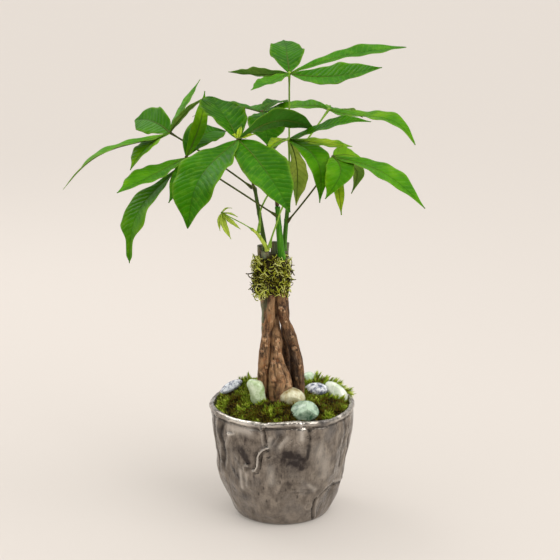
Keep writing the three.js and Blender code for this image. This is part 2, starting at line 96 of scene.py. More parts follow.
RIGHT_FOLDS = [
    (-1.0, 2.0, [(-32, 106), (-29, 96), (-26, 84), (-29, 70), (-27, 56)]),
    (1.2, 1.6, [(-23, 107), (-20, 92), (-22, 80), (-17, 68), (-21, 58)]),
    (-0.9, 1.6, [(-14, 100), (-16, 86), (-12, 70), (-15, 52)]),
    (1.0, 1.5, [(-15, 37), (-36, 42), (-47.5, 39), (-54.5, 31.5), (-55.5, 20), (-50, 6)]),
    (-1.5, 1.2, [(-16, 33), (-39, 37.5), (-50.5, 34), (-57.5, 27), (-58.6, 18), (-53, 4)]),
    (0.8, 0.9, [(-62, 25.5), (-59.8, 22), (-62, 18), (-66, 18.5), (-67.5, 22), (-65.5, 25.5), (-62, 25.5)]),
    (-0.6, 0.8, [(-81, 43), (-72, 41.5), (-61, 40)]),
    (-0.6, 0.8, [(-79, 39), (-70, 38), (-62, 36.5)]),
]
FRONT_WRINKLES = [
    (0.8, 0.9, [(-100, 98), (-102.4, 90)]),
    (0.7, 0.9, [(-93, 98), (-98, 89)]),
    (0.8, 0.8, [(-87, 98), (-92.5, 89)]),
    (0.7, 0.8, [(-82, 95), (-88, 88)]),
    (0.6, 0.9, [(-77, 93), (-82, 88)]),
    (-0.7, 1.0, [(-96, 97), (-100, 89)]),
    (-0.7, 0.9, [(-90, 97), (-95.5, 88)]),
    (0.7, 2.2, [(-75, 108), (-75, 96)]),
    (-0.8, 1.1, [(-69.5, 108), (-68.5, 97), (-69, 80)]),
    (0.6, 1.0, [(-104, 74), (-94, 79)]),
]
BACK_FOLDS = [
    (1.2, 4.0, [(60, 104), (66, 70), (58, 36), (70, 16)]),
    (-1.2, 2.2, [(54, 104), (59, 70), (50, 40)]),
    (-1.2, 2.6, [(120, 108), (113, 80), (118, 52), (108, 22)]),
    (1.1, 1.4, [(124, 108), (117, 80), (122, 52), (113, 22)]),
    (1.2, 3.0, [(165, 106), (172, 84), (166, 60), (176, 34)]),
    (1.0, 2.8, [(20, 100), (14, 78), (22, 55), (16, 28)]),
    (1.5, 1.1, [(90, 96), (86, 84), (92, 72), (88, 66), (81, 64)]),
    (-0.9, 1.1, [(93, 95), (89, 83), (95, 71), (90, 62), (82, 60.5)]),
]
# Darker fired patches: strength, half width in mm, and a line as above
POT_STAINS = [
    (1.8, 4.6, [(-125, 80.5), (-121.5, 76)]),
    (2.0, 2.6, [(-122, 76), (-118, 71)]),
    (1.0, 3.4, [(-137, 57), (-130, 50)]),
    (1.1, 1.8, [(-92, 80), (-83, 83)]),
    (1.5, 4.2, [(-88, 80), (-78, 78.5), (-72, 74)]),
    (1.4, 4.4, [(-80, 72), (-74, 66)]),
    (0.9, 9.0, [(-92, 75), (-74, 70)]),
    (1.2, 1.8, [(-69, 89), (-69.5, 74)]),
    (0.8, 2.0, [(-85, 50), (-82.5, 49)]),
    (0.9, 1.5, [(-51.5, 6), (-51, 1)]),
    (0.45, 8.0, [(-15, 24), (-38, 27), (-46, 17)]),
    (0.5, 5.0, [(-148, 96), (-148, 60)]),
    (0.8, 6.0, [(72, 66), (88, 52)]),
    (0.7, 5.0, [(148, 46), (158, 32)]),
    (0.8, 6.0, [(-172, 80), (-163, 70)]),
    (0.8, 5.0, [(28, 86), (40, 76)]),
]
# Painted highlights, lighter places on the wall where soft reflections would show: strength, half width in
# mm, and a line as above
POT_PAINTED_GLEAMS = [
    (0.55, 4.5, [(-133, 101), (-117, 103)]),
    (0.5, 1.4, [(-137, 94.5), (-132, 96)]),
    (0.4, 3.0, [(-75, 107), (-75, 96)]),
    (0.45, 2.6, [(-126.5, 60), (-128, 40)]),
    (0.3, 2.0, [(-121, 58), (-122, 44)]),
    (0.35, 2.0, [(-99, 97), (-101, 88)]),
    (0.35, 2.0, [(-86, 97), (-92, 88)]),
    (0.3, 7.0, [(-60, 84), (-52, 56)]),
    (0.4, 2.0, [(-66, 46), (-60, 40)]),
    (0.3, 4.0, [(-100, 66), (-99, 52)]),
    (0.4, 5.0, [(46, 90), (50, 66)]),
    (0.4, 6.0, [(130, 96), (134, 60)]),
    (0.4, 5.0, [(172, 60), (178, 30)]),
]
# Short dark dashes where the glaze pulled apart, in degrees round the pot and mm up it
POT_DASHES = [
    (-91, 58), (-92, 52), (-93, 41), (-106, 45), (-111, 38), (-81, 52), (-114, 56), (-98, 53), (-87, 44),
    (-101, 62), (-95, 33), (-117, 50), (-76, 34), (-104, 31), (-60, 70), (-54, 82), (-132, 70), (10, 60),
    (48, 40), (95, 44), (102, 70), (135, 62), (160, 84), (-178, 52), (-168, 36),
]
# Where the band's edge hangs down: (degrees round, half width in degrees, how far as a share)
BAND_DRIPS = [(-105.3, 2.0, 1.0), (-69, 1.9, 0.8), (84, 2.4, 0.8), (156, 2.4, 0.7)]
# Where the rim is pinched, and where its painted highlight is brightest, in the same way
RIM_PINCHES = [(-102.6, 1.0, 1.0), (-73, 1.8, 1.0)]
RIM_HIGHLIGHTS = [(-121, 15, 1.0), (-80, 24, 0.5)]


def colour(code):
    """A colour picked as it looks on a screen, in Blender's linear values."""
    parts = [int(code[i : i + 2], 16) / 255 for i in (1, 3, 5)]
    return (*[p / 12.92 if p < 0.04045 else ((p + 0.055) / 1.055) ** 2.4 for p in parts], 1.0)


def smooth(low, high, x):
    """Goes softly from 0 at low to 1 at high."""
    t = np.clip((x - low) / (high - low), 0, 1)
    return t * t * (3 - 2 * t)


def hump(x, width):
    """A bell curve: 1 where x is 0, and a third one width away."""
    return np.exp(-((x / width) ** 2))


def wrapped(angle):
    """The same angle in radians, between minus and plus half a turn."""
    return np.arctan2(np.sin(angle), np.cos(angle))


def ringed_cylinder(name, around, rings):
    """A closed cylinder of radius 1 and height 1 with that many rings up it, ready to be shaped."""
    bpy.ops.object.select_all(action="DESELECT")
    bpy.ops.mesh.primitive_cylinder_add(vertices=around, radius=1, depth=1, end_fill_type="TRIFAN")
    shaped = bpy.context.object
    shaped.name = name
    mesh = shaped.data
    mesh.name = name
    bpy.ops.object.mode_set(mode="EDIT")
    bpy.ops.mesh.select_mode(type="EDGE")
    bpy.ops.mesh.select_all(action="DESELECT")
    bpy.ops.object.mode_set(mode="OBJECT")
    for edge in mesh.edges:
        a, b = [mesh.vertices[i].co.z for i in edge.vertices]
        edge.select = abs(a - b) > 0.5
    bpy.ops.object.mode_set(mode="EDIT")
    bpy.ops.mesh.subdivide(number_cuts=rings - 2)
    bpy.ops.object.mode_set(mode="OBJECT")
    return shaped


def points_of(shaped):
    points = np.empty(len(shaped.data.vertices) * 3)
    shaped.data.vertices.foreach_get("co", points)
    return points.reshape(-1, 3)


def rings_of(raw, count):
    """For each point of a ringed cylinder: its ring, its angle, and how far out it is up to 1."""
    ring = np.rint((raw[:, 2] + 0.5) * (count - 1)).astype(int)
    return ring, np.arctan2(raw[:, 1], raw[:, 0]), np.minimum(1, np.hypot(raw[:, 0], raw[:, 1]))


def move_points(shaped, points):
    """Puts every vertex at a place given in mm."""
    shaped.data.vertices.foreach_set("co", (np.asarray(points) * MM).ravel())
    shaped.data.update()


def mark_points(shaped, name, values):
    """Keeps one number for each vertex, for a material to read."""
    layer = shaped.data.attributes.new(name, "FLOAT", "POINT")
    layer.data.foreach_set("value", np.asarray(values, dtype=np.float32))


def lumps(points, size, seed):
    """Soft noise from -1 to 1 at each point, with lumps of about that size in mm."""
    lift = Vector((seed, 3.1 * seed, -1.7 * seed))
    return np.array([noise.fractal(Vector(p) / size + lift, 0.9, 2.0, 2) for p in points])


def smooth_faces(shaped):
    bpy.ops.object.select_all(action="DESELECT")
    shaped.select_set(True)
    bpy.context.view_layer.objects.active = shaped
    bpy.ops.object.shade_smooth()


def through(points, count):
    """Evenly counted points on the smooth curve through a few points."""
    p = np.array(points, dtype=float)
    p = np.vstack([2 * p[0] - p[1], p, 2 * p[-1] - p[-2]])
    steps = np.linspace(0, len(points) - 1, count)
    k = np.minimum(steps.astype(int), len(points) - 2)
    t = (steps - k)[:, None]
    a, b, c, d = p[k], p[k + 1], p[k + 2], p[k + 3]
    return 0.5 * (2 * b + (c - a) * t + (2 * a - 5 * b + 4 * c - d) * t**2 + (3 * b - a - 3 * c + d) * t**3)


pot_line = through(POT_PROFILE, 400)


def pot_radius(z):
    return np.interp(z, pot_line[:, 0], pot_line[:, 1])


def pot_rumple(angle, z):
    """How far the rumpled wall stands out from the plain turned shape."""
    middle = smooth(0, 18, z) * (1 - 0.5 * smooth(95, POT_HEIGHT, z))
    facets = 0.9 * np.cos(7 * angle + 0.6) + 0.7 * np.cos(4 * angle + z / 26)
    waves = 0.8 * np.sin(9 * angle - z / 15) + 0.6 * np.sin(5 * angle + z / 11)
    dent = -4.2 * np.exp(-((wrapped(angle) / 0.75) ** 2) - ((z - 38) / 26) ** 2)
    return middle * (facets + waves) + dent * smooth(0, 14, z)


def line_distance(s, z, line):
    """Distance in mm from points of the unrolled wall to a line drawn on it."""
    nearest = np.full(len(s), 1e9)
    for (a1, z1), (a2, z2) in zip(line, line[1:]):
        s1, s2 = math.radians(a1) * WALL_RADIUS, math.radians(a2) * WALL_RADIUS
        length = (s2 - s1) ** 2 + (z2 - z1) ** 2
        t = np.clip(((s - s1) * (s2 - s1) + (z - z1) * (z2 - z1)) / length, 0, 1)
        nearest = np.minimum(nearest, np.hypot(s - s1 - t * (s2 - s1), z - z1 - t * (z2 - z1)))
    return nearest


def strongest(marks, s, z):
    """The strongest of several marks at each point of the unrolled wall."""
    found = np.zeros(len(s))
    for strength, wide, line in marks:
        found = np.maximum(found, strength * hump(line_distance(s, z, line), wide))
    return found


def at_bearings(spots, degrees):
    """The sum of several bell curves round the pot."""
    return sum(share * hump(degrees - at, wide) for at, wide, share in spots)


# The pot's rings, each (radius, mm up), from the middle of its foot over the lip to the middle inside
foot = [(r, 0) for r in (8, 18, 28, 36, 42)]
wall_heights = np.concatenate(
    [np.linspace(0, 4, 6), np.linspace(5, 103.8, 124), np.linspace(104.3, 109.6, 15)]
)
wall = [(float(pot_radius(z)), float(z)) for z in wall_heights]
lip_angles = [math.radians(a) for a in range(0, 181, 15)]
lip = [
    (LIP_MIDDLE[0] + LIP_HALF[0] * math.cos(a), LIP_MIDDLE[1] + LIP_HALF[1] * math.sin(a))
    for a in lip_angles
]
inside_heights = (108, 105, 100, 92, 76, 60, 45, 30, 20, 14, 9, POT_FLOOR)
inside = [(float(pot_radius(z)) - POT_WALL, float(z)) for z in inside_heights]
floor_rings = [(r, POT_FLOOR) for r in (44, 34, 24, 12)]
pot_rings = np.array(foot + wall + lip + inside + floor_rings)

pot = ringed_cylinder("glazed_pot", POT_COLUMNS, len(pot_rings))
ring, angle, out = rings_of(points_of(pot), len(pot_rings))
# The columns stand closer together at the front, where the wall has its finest folds
from_front = wrapped(angle + math.pi / 2)
turn = wrapped(from_front - 0.4 * np.sin(from_front) - math.pi / 2)
level = pot_rings[ring, 1]
outer = (ring >= len(foot)) & (ring < len(foot + wall + lip))
skin = np.where(outer, 1.0, 0.0)
round_wall = WALL_RADIUS * turn
relief = np.zeros(len(ring))
for tall, wide, line in CURLED_SEAM + LEFT_FOLDS + RIGHT_FOLDS + FRONT_WRINKLES + BACK_FOLDS:
    relief += tall * hump(line_distance(round_wall, level, line), wide)
# Noise is read on a straight wall of this radius
NOISE_RADIUS = 50
around_rim = NOISE_RADIUS * np.column_stack([np.cos(turn), np.sin(turn), np.zeros(len(ring))])
place = around_rim + np.outer(level, (0, 0, 1))
worn = lumps(place * (1, 1, 0.6), 16, 2.0) * 0.9 + lumps(place * (1, 1, 0.45), 6, 5.0) * 0.45
fade = smooth(0, 8, level) * (1 - 0.6 * smooth(104, POT_HEIGHT, level))
# The folded band: its lower edge wanders, and hangs down in drips, two of them at the front
degrees_round = np.degrees(turn)
drips = at_bearings(BAND_DRIPS, degrees_round)
pinch = at_bearings(RIM_PINCHES, degrees_round)
waver = lumps(around_rim, 9, 8.0) + 0.5 * lumps(around_rim, 4, 3.0)
band_edge = 107.4 - 2.6 * drips + 0.7 * waver + 1.6 * pinch
band = (1.15 + 0.5 * lumps(around_rim, 5, 12.0)) * smooth(band_edge - 0.6, band_edge + 0.6, level)
under_band = hump(level - band_edge + 1.3, 0.75)
reach = pot_rings[ring, 0] * out + skin * (pot_rumple(turn, level) + fade * (relief + worn))
reach = reach + skin * (band - 0.7 * under_band - 0.9 * pinch * smooth(104, 108, level))
# The rim isn't quite level, and dips at the drips and pinches
rim_waves = 0.9 * np.cos(5 * turn + 1) + 0.7 * np.sin(3 * turn)
height = level + smooth(90, POT_HEIGHT, level) * rim_waves
height = height - smooth(106, POT_HEIGHT, height) * (0.5 * drips + 0.9 * pinch + 0.35 * waver)
move_points(pot, np.column_stack([reach * np.cos(turn), reach * np.sin(turn), height]))
smooth_faces(pot)
# Stains and dashes, painted shade in the creases, and the glaze worn to bright metal on ridges and rim,
# with painted highlights
dashes = [(0.9, 0.85, [(at, z + 1.2), (at, z - 1.2)]) for at, z in POT_DASHES]
mark_points(pot, "tarnish", skin * strongest(POT_STAINS + dashes, round_wall, level))
# Painted shade: darker in the grooves of the folds, where darker glaze also pools, in the groove under the
# band and at the pinches
shade_and_pooled_glaze = 0.75 * np.clip(-relief, 0, 1.2) + 0.75 * under_band + 0.6 * pinch * smooth(105, 109, level)
mark_points(pot, "shade_and_pooled_glaze", skin * np.clip(shade_and_pooled_glaze, 0, 1))
# Painted highlights, with glaze worn bright: along the rim in stretches, brightest at the listed places, in
# the light spots, and on the tops of ridges
stretches = 0.5 + 0.5 * np.sin(3.1 * turn + 0.9) * np.cos(5.3 * turn - 0.4)
painted_rim_highlight = 0.1 + 0.3 * stretches + 0.75 * at_bearings(RIM_HIGHLIGHTS, degrees_round)
painted_rim_highlight = smooth(107.6, 109.6, level) * (painted_rim_highlight + 0.3 * np.clip(2 * waver, -1, 1))
painted_gleam = strongest(POT_PAINTED_GLEAMS, round_wall, level)
ridge_highlight = 0.42 * np.clip(relief - 0.3, 0, 2)
mark_points(pot, "worn_and_highlight", skin * np.clip(painted_rim_highlight + painted_gleam + ridge_highlight, 0, 1))


def feed(tree, node, inputs):
    """Joins or fills a node's inputs."""
    for key, value in inputs.items():
        if isinstance(value, bpy.types.NodeSocket):
            tree.links.new(value, node.inputs[key])
        else:
            node.inputs[key].default_value = value


def add(tree, kind, inputs, **settings):
    """Adds a shader node, sets it up, and joins or fills its inputs."""
    node = tree.nodes.new(kind)
    for key, value in settings.items():
        setattr(node, key, value)
    feed(tree, node, inputs)
    return node


def calc(tree, operation, a, b, clamp=False):
    return add(tree, "ShaderNodeMath", {0: a, 1: b}, operation=operation, use_clamp=clamp).outputs[0]


def past(tree, value, level, gain):
    """How far a value is past a level, times a gain, from 0 to 1."""
    return calc(tree, "MULTIPLY", calc(tree, "SUBTRACT", value, level), gain, clamp=True)


def drifted(tree, value, drift, by):
    """A value moved up and down by noise, from 0 to 1."""
    moved = calc(tree, "MULTIPLY", calc(tree, "SUBTRACT", drift, 0.5), by)
    return calc(tree, "ADD", value, moved, clamp=True)


def blend_colours(tree, share, a, b):
    return add(tree, "ShaderNodeMix", {0: share, 6: a, 7: b}, data_type="RGBA").outputs[2]


def overlay(tree, base, mask, strength, code):
    """A base colour with another laid over it where the mask is."""
    return blend_colours(tree, calc(tree, "MULTIPLY", mask, strength), base, colour(code))


def clouds(tree, vector, scale, detail, roughness=0.5):
    """Soft noise from 0 to 1, with about that many lumps in a mm."""
    inputs = {"Vector": vector, "Scale": scale, "Detail": detail, "Roughness": roughness}
    return add(tree, "ShaderNodeTexNoise", inputs).outputs[0]


def drawn_out(tree, vector, share):
    """Coordinates that count less upwards, so that patterns run long up and down."""
    return add(tree, "ShaderNodeVectorMath", {0: vector, 1: (1, 1, share)}, operation="MULTIPLY").outputs[0]


def colour_ramp(tree, share, stops):
    """A colour ramp through stops, each (position, colour)."""
    ramp = add(tree, "ShaderNodeValToRGB", {0: share})
    elements = ramp.color_ramp.elements
    for end in (0, -1):
        elements[end].position, elements[end].color = stops[end][0], colour(stops[end][1])
    for position, code in stops[1:-1]:
        elements.new(position).color = colour(code)
    return ramp.outputs[0]


def raise_surface(tree, shader, height, strength, distance):
    """Bumps the surface up where height is more, by up to a distance in metres."""
    bump = add(tree, "ShaderNodeBump", {"Strength": strength, "Distance": distance, "Height": height})
    tree.links.new(bump.outputs[0], shader.inputs["Normal"])


def finish(name):
    """A new material: its node tree, its Principled shader and its Object coordinates in mm."""
    material = bpy.data.materials.new(name)
    material.use_nodes = True
    tree = material.node_tree
    where = add(tree, "ShaderNodeTexCoord", {}).outputs["Object"]
    in_mm = add(tree, "ShaderNodeVectorMath", {0: where, 1: (1000, 1000, 1000)}, operation="MULTIPLY")
    return material, tree, tree.nodes["Principled BSDF"], in_mm.outputs[0]


def read_mark(tree, name, output="Fac"):
    return add(tree, "ShaderNodeAttribute", {}, attribute_name=name).outputs[output]


def effect(name, inputs, outputs):
    """An empty node group with named sockets: its tree, the values given, and the results to fill."""
    group = bpy.data.node_groups.new(name, "ShaderNodeTree")
    for way, sockets in (("INPUT", inputs), ("OUTPUT", outputs)):
        for label, kind in sockets.items():
            group.interface.new_socket(label, in_out=way, socket_type=f"NodeSocket{kind}")
    return group, group.nodes.new("NodeGroupInput").outputs, group.nodes.new("NodeGroupOutput")


def use(tree, group, inputs):
    return add(tree, "ShaderNodeGroup", inputs, node_tree=group).outputs


# Mottling: two colours that drift into each other in soft patches and fine speckle
mottle, given, result = effect(
    "mottle",
    {"Vector": "Vector", "Patch Size": "Float", "Contrast": "Float", "Grit": "Float", "Dark": "Color",
     "Light": "Color"},
    {"Color": "Color", "Share": "Float"},
)
per_mm = calc(mottle, "DIVIDE", 1.0, given["Patch Size"])
big = clouds(mottle, given["Vector"], per_mm, 5.0, given["Grit"])
fine = clouds(mottle, given["Vector"], calc(mottle, "MULTIPLY", per_mm, 6.3), 3.0)
both = calc(mottle, "ADD", calc(mottle, "MULTIPLY", big, 0.75), calc(mottle, "MULTIPLY", fine, 0.25))
share = drifted(mottle, 0.5, both, given["Contrast"])
mixed = blend_colours(mottle, share, given["Dark"], given["Light"])
feed(mottle, result, {"Color": mixed, "Share": share})


def mottled(tree, vector, size, contrast, grit, dark, light):
    """The mottling of two colours, and its share of the light one; size is a patch's in mm."""
    inputs = {"Vector": vector, "Patch Size": size, "Contrast": contrast, "Grit": grit}
    outputs = use(tree, mottle, {**inputs, "Dark": colour(dark), "Light": colour(light)})
    return outputs["Color"], outputs["Share"]


pewter, tree, shader, where = finish("pewter_glaze")
upright = drawn_out(tree, where, 0.28)
cloud, _ = mottled(tree, where, 9, 4.0, 0.55, "#463e39", "#a3998e")
streak, streak_share = mottled(tree, upright, 5, 4.0, 0.5, "#423b36", "#a0968a")
base = blend_colours(tree, 0.5, cloud, streak)
base = overlay(tree, base, past(tree, clouds(tree, where, 0.045, 2.0), 0.52, 4.0), 0.4, "#6c7076")
base = overlay(tree, base, past(tree, clouds(tree, upright, 0.7, 2.0, 0.4), 0.63, 12.0), 0.4, "#2e2926")
height = add(tree, "ShaderNodeSeparateXYZ", {0: where}).outputs[2]
# Painted light: the wall is painted paler towards the foot, standing in for the pale floor's reflection
painted_floor_reflection = {"Value": height, "From Min": 62, "From Max": 12, "To Max": 0.18}
painted_floor_reflection = add(tree, "ShaderNodeMapRange", painted_floor_reflection).outputs[0]
base = blend_colours(tree, painted_floor_reflection, base, colour("#beb3a8"))
ragged = calc(tree, "ADD", past(tree, clouds(tree, where, 0.16, 4.0, 0.65), 0.28, 2.6), 0.25)
stained = calc(tree, "MULTIPLY", read_mark(tree, "tarnish"), ragged, clamp=True)
base = overlay(tree, base, stained, 0.88, "#2a2425")
# Painted shade in the creases, under the band and at the pinches, with darker glaze pooled in the grooves
base = overlay(tree, base, read_mark(tree, "shade_and_pooled_glaze"), 0.8, "#1b1715")
# Worn glaze and painted highlights: paler and smoother
worn_and_highlight = read_mark(tree, "worn_and_highlight")
base = blend_colours(tree, worn_and_highlight, base, colour("#ded8cf"))
rough = calc(tree, "ADD", calc(tree, "MULTIPLY", streak_share, 0.14), 0.13)
rough = calc(tree, "SUBTRACT", rough, calc(tree, "MULTIPLY", worn_and_highlight, 0.14))
feed(tree, shader, {"Base Color": base, "Metallic": 0.85, "Roughness": rough})
raise_surface(tree, shader, clouds(tree, where, 0.1, 3.0, 0.45), 0.8, 0.003)
pot.data.materials.append(pewter)

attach(pot, "root")
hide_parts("pot")


# The soil
# Dark, loose peat mix that fills the pot to just under the moss. The trunks stand in it, and it
# can't be seen from outside, so the solid's own shape is kept.
peat, tree, shader, where = finish("peat")
crumb, crumb_share = mottled(tree, where, 5, 4, 0.62, "#1b120c", "#4a3526")
feed(tree, shader, {"Base Color": crumb, "Roughness": 0.95})
raise_surface(tree, shader, crumb_share, 0.8, 0.002)
soil_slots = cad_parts["soil"].data.materials
soil_slots.clear()
soil_slots.append(peat)


# The moss bed
# A living mat of star moss and feather moss, laid over the soil and mounded round the trunks. It
# is a lumpy cushion that thousands of short leafy sprigs stand out of, in greens from olive to lime.
MOSS_BOTTOM = 98.5
MOSS_EDGE = 107
MOSS_CROWN = 12
MOSS_RADIUS = 63.2
BED_COLUMNS = 170
# Short sprigs grow all over the bed, and longer ones in clumps, none of them over its edge
SPRIG_COUNT = 2100
SPRIG_RADIUS = 62.8
SPRIGS_IN_CLUMP = 26
CLUMP_RADIUS = 62


def moss_height(x, y):
    """The smooth bed: a dome with a mound at the back and a hollow beside a pebble."""
    out = np.minimum(1, np.hypot(x, y) / 64)
    mound = 7 * smooth(15, 45, y) * (1 - out**6)
    hollow = 3.5 * np.exp(-(((x - 36) / 13) ** 2) - ((y + 4) / 11) ** 2)
    return MOSS_EDGE + MOSS_CROWN * (1 - out**2.6) + mound - hollow


def moss_cushions(x, y):
    """How far the cushions stand out of the bed's smooth surface, and the gaps sink into it."""
    flat = np.column_stack([x, y, np.zeros(len(x))])
    return 3.0 * lumps(flat, 9, 1.0) + 1.1 * lumps(flat, 3.2, 4.0)


# The bed's rings, each (radius, 0 underneath or 1 on top)
under = [(r, 0) for r in (20, 40, 55, 60.5, MOSS_RADIUS)]
over = [(r, 1) for r in np.linspace(MOSS_RADIUS, 1, 62)]
bed_rings = np.array(under + over)
bed = ringed_cylinder("moss_mat", BED_COLUMNS, len(bed_rings))
ring, turn, out = rings_of(points_of(bed), len(bed_rings))
reach = bed_rings[ring, 0] * out
x, y = reach * np.cos(turn), reach * np.sin(turn)
top = moss_height(x, y) - 1.2 + moss_cushions(x, y) * (1 - smooth(61, MOSS_RADIUS, reach))
move_points(bed, np.column_stack([x, y, np.where(bed_rings[ring, 1] == 1, top, MOSS_BOTTOM)]))
smooth_faces(bed)
mark_points(bed, "tone", np.clip(0.06 + 0.05 * moss_cushions(x, y), 0, 1))


def template(shaped):
    """Takes a small shape's points and faces to repeat, and removes it."""
    points = points_of(shaped)
    faces = [tuple(face.vertices) for face in shaped.data.polygons]
    bpy.data.objects.remove(shaped)
    return points, faces


def scatter(name, shapes, places, brighten):
    """One mesh of many copies. A place is (shape, turning matrix, middle in mm, tone).

    Each copy gets brighter from its root to its tips.
    """
    points, faces, tones, count = [], [], [], 0
    for shape, matrix, middle, tone in places:
        corners, loops = shapes[shape]
        points.append(corners @ matrix.T + middle)
        faces.extend([tuple(i + count for i in loop) for loop in loops])
        tones.append(tone + brighten * (np.linalg.norm(corners, axis=1) - 0.6))
        count += len(corners)
    mesh = bpy.data.meshes.new(name)
    mesh.from_pydata((np.vstack(points) * MM).tolist(), [], faces)
    made = bpy.data.objects.new(name, mesh)
    bpy.context.collection.objects.link(made)
    mark_points(made, "tone", np.clip(np.concatenate(tones), 0, 1))
    return made


def turned(lean, bearing, spin, size):
    """A matrix that spins a shape, leans it away from upright towards a bearing, and sizes it."""
    cl, sl, cb, sb, cs, ss = (f(a) for a in (lean, bearing, spin) for f in (math.cos, math.sin))
    about_z = np.array([[cs, -ss, 0], [ss, cs, 0], [0, 0, 1]])
    leaned = np.array([[cl, 0, sl], [0, 1, 0], [-sl, 0, cl]])
    faced = np.array([[cb, -sb, 0], [sb, cb, 0], [0, 0, 1]])
    return faced @ leaned @ about_z * size


def moss_leaf():
    """A single moss leaf: a narrow three-sided spike 1 mm long."""
    bpy.ops.object.select_all(action="DESELECT")
    bpy.ops.mesh.primitive_cone_add(vertices=3, radius1=0.125, radius2=0, depth=1)
    leaf = bpy.context.object
    points = points_of(leaf) * (1, 1.5, 1) + (0, 0, 0.5)
    leaf.data.vertices.foreach_set("co", points.ravel())
    return template(leaf)


leaf_points, leaf_faces = moss_leaf()


def gather(turns):
    """Moss leaves turned by each matrix and moved to each root, as one shape."""
    points, faces = [], []
    for matrix, root in turns:
        faces.extend([tuple(k + len(points) * len(leaf_points) for k in loop) for loop in leaf_faces])
        points.append(leaf_points @ matrix.T + root)
    return np.vstack(points), faces


def star_sprig(leaves, spread, seed):
    """A sprig of star moss: leaves that open out from one point, the lower ones flattest."""
    draw = random.Random(seed)
    turns = []
    for i in range(leaves):
        lean = spread * (1 - 0.75 * i / leaves) + 0.15 * draw.uniform(-1, 1)
        spin, size = draw.uniform(0, 6), draw.uniform(0.7, 1.05) * (1 - 0.25 * i / leaves)
        turns.append((turned(lean, 2.4 * i, spin, size), (0, 0, 0.35 * i / leaves)))
    return gather(turns)


def feather_sprig(pairs, seed):
    """A sprig of feather moss: a stem with leaves in pairs along it."""
    draw = random.Random(seed)
    turns = [(turned(0, 0, 0, 1.3), (0, 0, 0))]
    for i in range(pairs * 2):
        share = (i // 2) / pairs
        matrix = turned(0.85, 1.57 if i % 2 else -1.57, draw.uniform(0, 6), 0.5 - 0.28 * share)
        turns.append((matrix, (0.08 * share, 0, 0.15 + 0.95 * share)))
    return gather(turns)


moss_shapes = [star_sprig(10, 1.4, 1), star_sprig(8, 1.15, 2), star_sprig(11, 1.55, 3)]
moss_shapes.append(feather_sprig(8, 4))
STARS, FEATHER = [0, 1, 2], 3

# Where stones and trunks stand, no sprig grows: (x, y, radius)
BARE = [
    (-24, -20, 7.5), (9.6, -21, 10), (22, -45, 11.5), (33.2, 12, 8), (52.5, 12.5, 5), (26.8, 46, 7.5),
    (26.8, 38, 4.5), (-12, 10, 5.5), (-19, -9, 6), (-2, -14, 11), (15, -3, 6.5), (5, 10, 5), (-51.5, 26, 6),
]
# Clumps of long feather moss: (x, y, radius, length, how far they lean out)
CLUMPS = [
    (46, 31, 9, 14, 1.0), (54, 24, 6, 14, 1.3), (37, 43, 8, 12, 0.7), (-37, 36, 9, 9, 0.35),
    (-28, 22, 6, 8.5, 0.3), (-58, 14, 5, 6, 0.9), (46, 2, 7, 8, 0.8), (10, 52, 10, 8, 0.5),
]


def bare(x, y):
    return any(math.hypot(x - a, y - b) < r for a, b, r in BARE)


def moss_ground(x, y):
    """Where a sprig's root is, and how far its cushion stands out there."""
    hill = float(moss_cushions(np.array([x]), np.array([y]))[0])
    return float(moss_height(x, y)) - 1.6 + hill, hill


draw = random.Random(11)
places = []
while len(places) < SPRIG_COUNT:
    x, y = draw.uniform(-63, 63), draw.uniform(-63, 63)
    out = math.hypot(x, y)
    if out > SPRIG_RADIUS or bare(x, y):
        continue
    z, hill = moss_ground(x, y)
    if hill < -1.4 and draw.random() < 0.8:
        continue
    patch = noise.noise(Vector((x / 13, y / 13, 5)))
    edge = out > 52
    long = 4.3 + 2.9 * draw.random() + 0.3 * hill
    lean = 0.1 + 0.5 * draw.random() + (0.2 if edge else 0)
    bearing = math.atan2(y, x) + draw.uniform(-0.9, 0.9) * (1 if edge else 3)
    shape = FEATHER if patch > 0.25 and draw.random() < 0.4 else draw.choice(STARS)
    # Brownish in the middle and at the front right, greener at the left and the back
    green = 0.33 + 0.05 * (x < -20) + 0.1 * (y > 20) - 0.07 * (abs(x) < 20 and y < 0)
    green -= 0.12 * (x > 24 and y < 10)
    tone = min(0.85, max(0, green + 0.6 * patch + 0.08 * hill + 0.32 * draw.uniform(-1, 1)))
    places.append((shape, turned(lean, bearing, draw.uniform(0, 6), long), np.array([x, y, z]), tone))
for middle_x, middle_y, radius, long, lean_out in CLUMPS:
    for i in range(SPRIGS_IN_CLUMP):
        far, bearing = radius * math.sqrt(draw.random()), draw.uniform(0, 6.28)
        x, y = middle_x + far * math.cos(bearing), middle_y + far * math.sin(bearing)
        if math.hypot(x, y) > CLUMP_RADIUS or bare(x, y):
            continue
        z, hill = moss_ground(x, y)
        bearing = math.atan2(y, x) + draw.uniform(-0.8, 0.8)
        lean = lean_out + 0.35 * draw.uniform(-1, 1)
        matrix = turned(lean, bearing, draw.uniform(0, 6), long * draw.uniform(0.7, 1.15))
        places.append((FEATHER, matrix, np.array([x, y, z]), 0.47 + 0.22 * draw.uniform(-1, 1)))
sprigs = scatter("moss_sprigs", moss_shapes, places, 0.85)

moss_green, tree, shader, where = finish("moss_green")
tone = read_mark(tree, "tone")
speckled = drifted(tree, tone, clouds(tree, where, 0.35, 2.0), 0.6)
moss_stops = [
    (0, "#141002"), (0.2, "#3b2e0a"), (0.38, "#6e590d"), (0.56, "#5a7210"), (0.78, "#8da51f"),
    (1, "#cbd85e"),
]
base = colour_ramp(tree, speckled, moss_stops)
feed(tree, shader, {"Base Color": base, "Roughness": 0.6, "Specular IOR Level": 0.18})
for piece in (bed, sprigs):
    piece.data.materials.append(moss_green)
    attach(piece, "root")
    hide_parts("moss_bed")


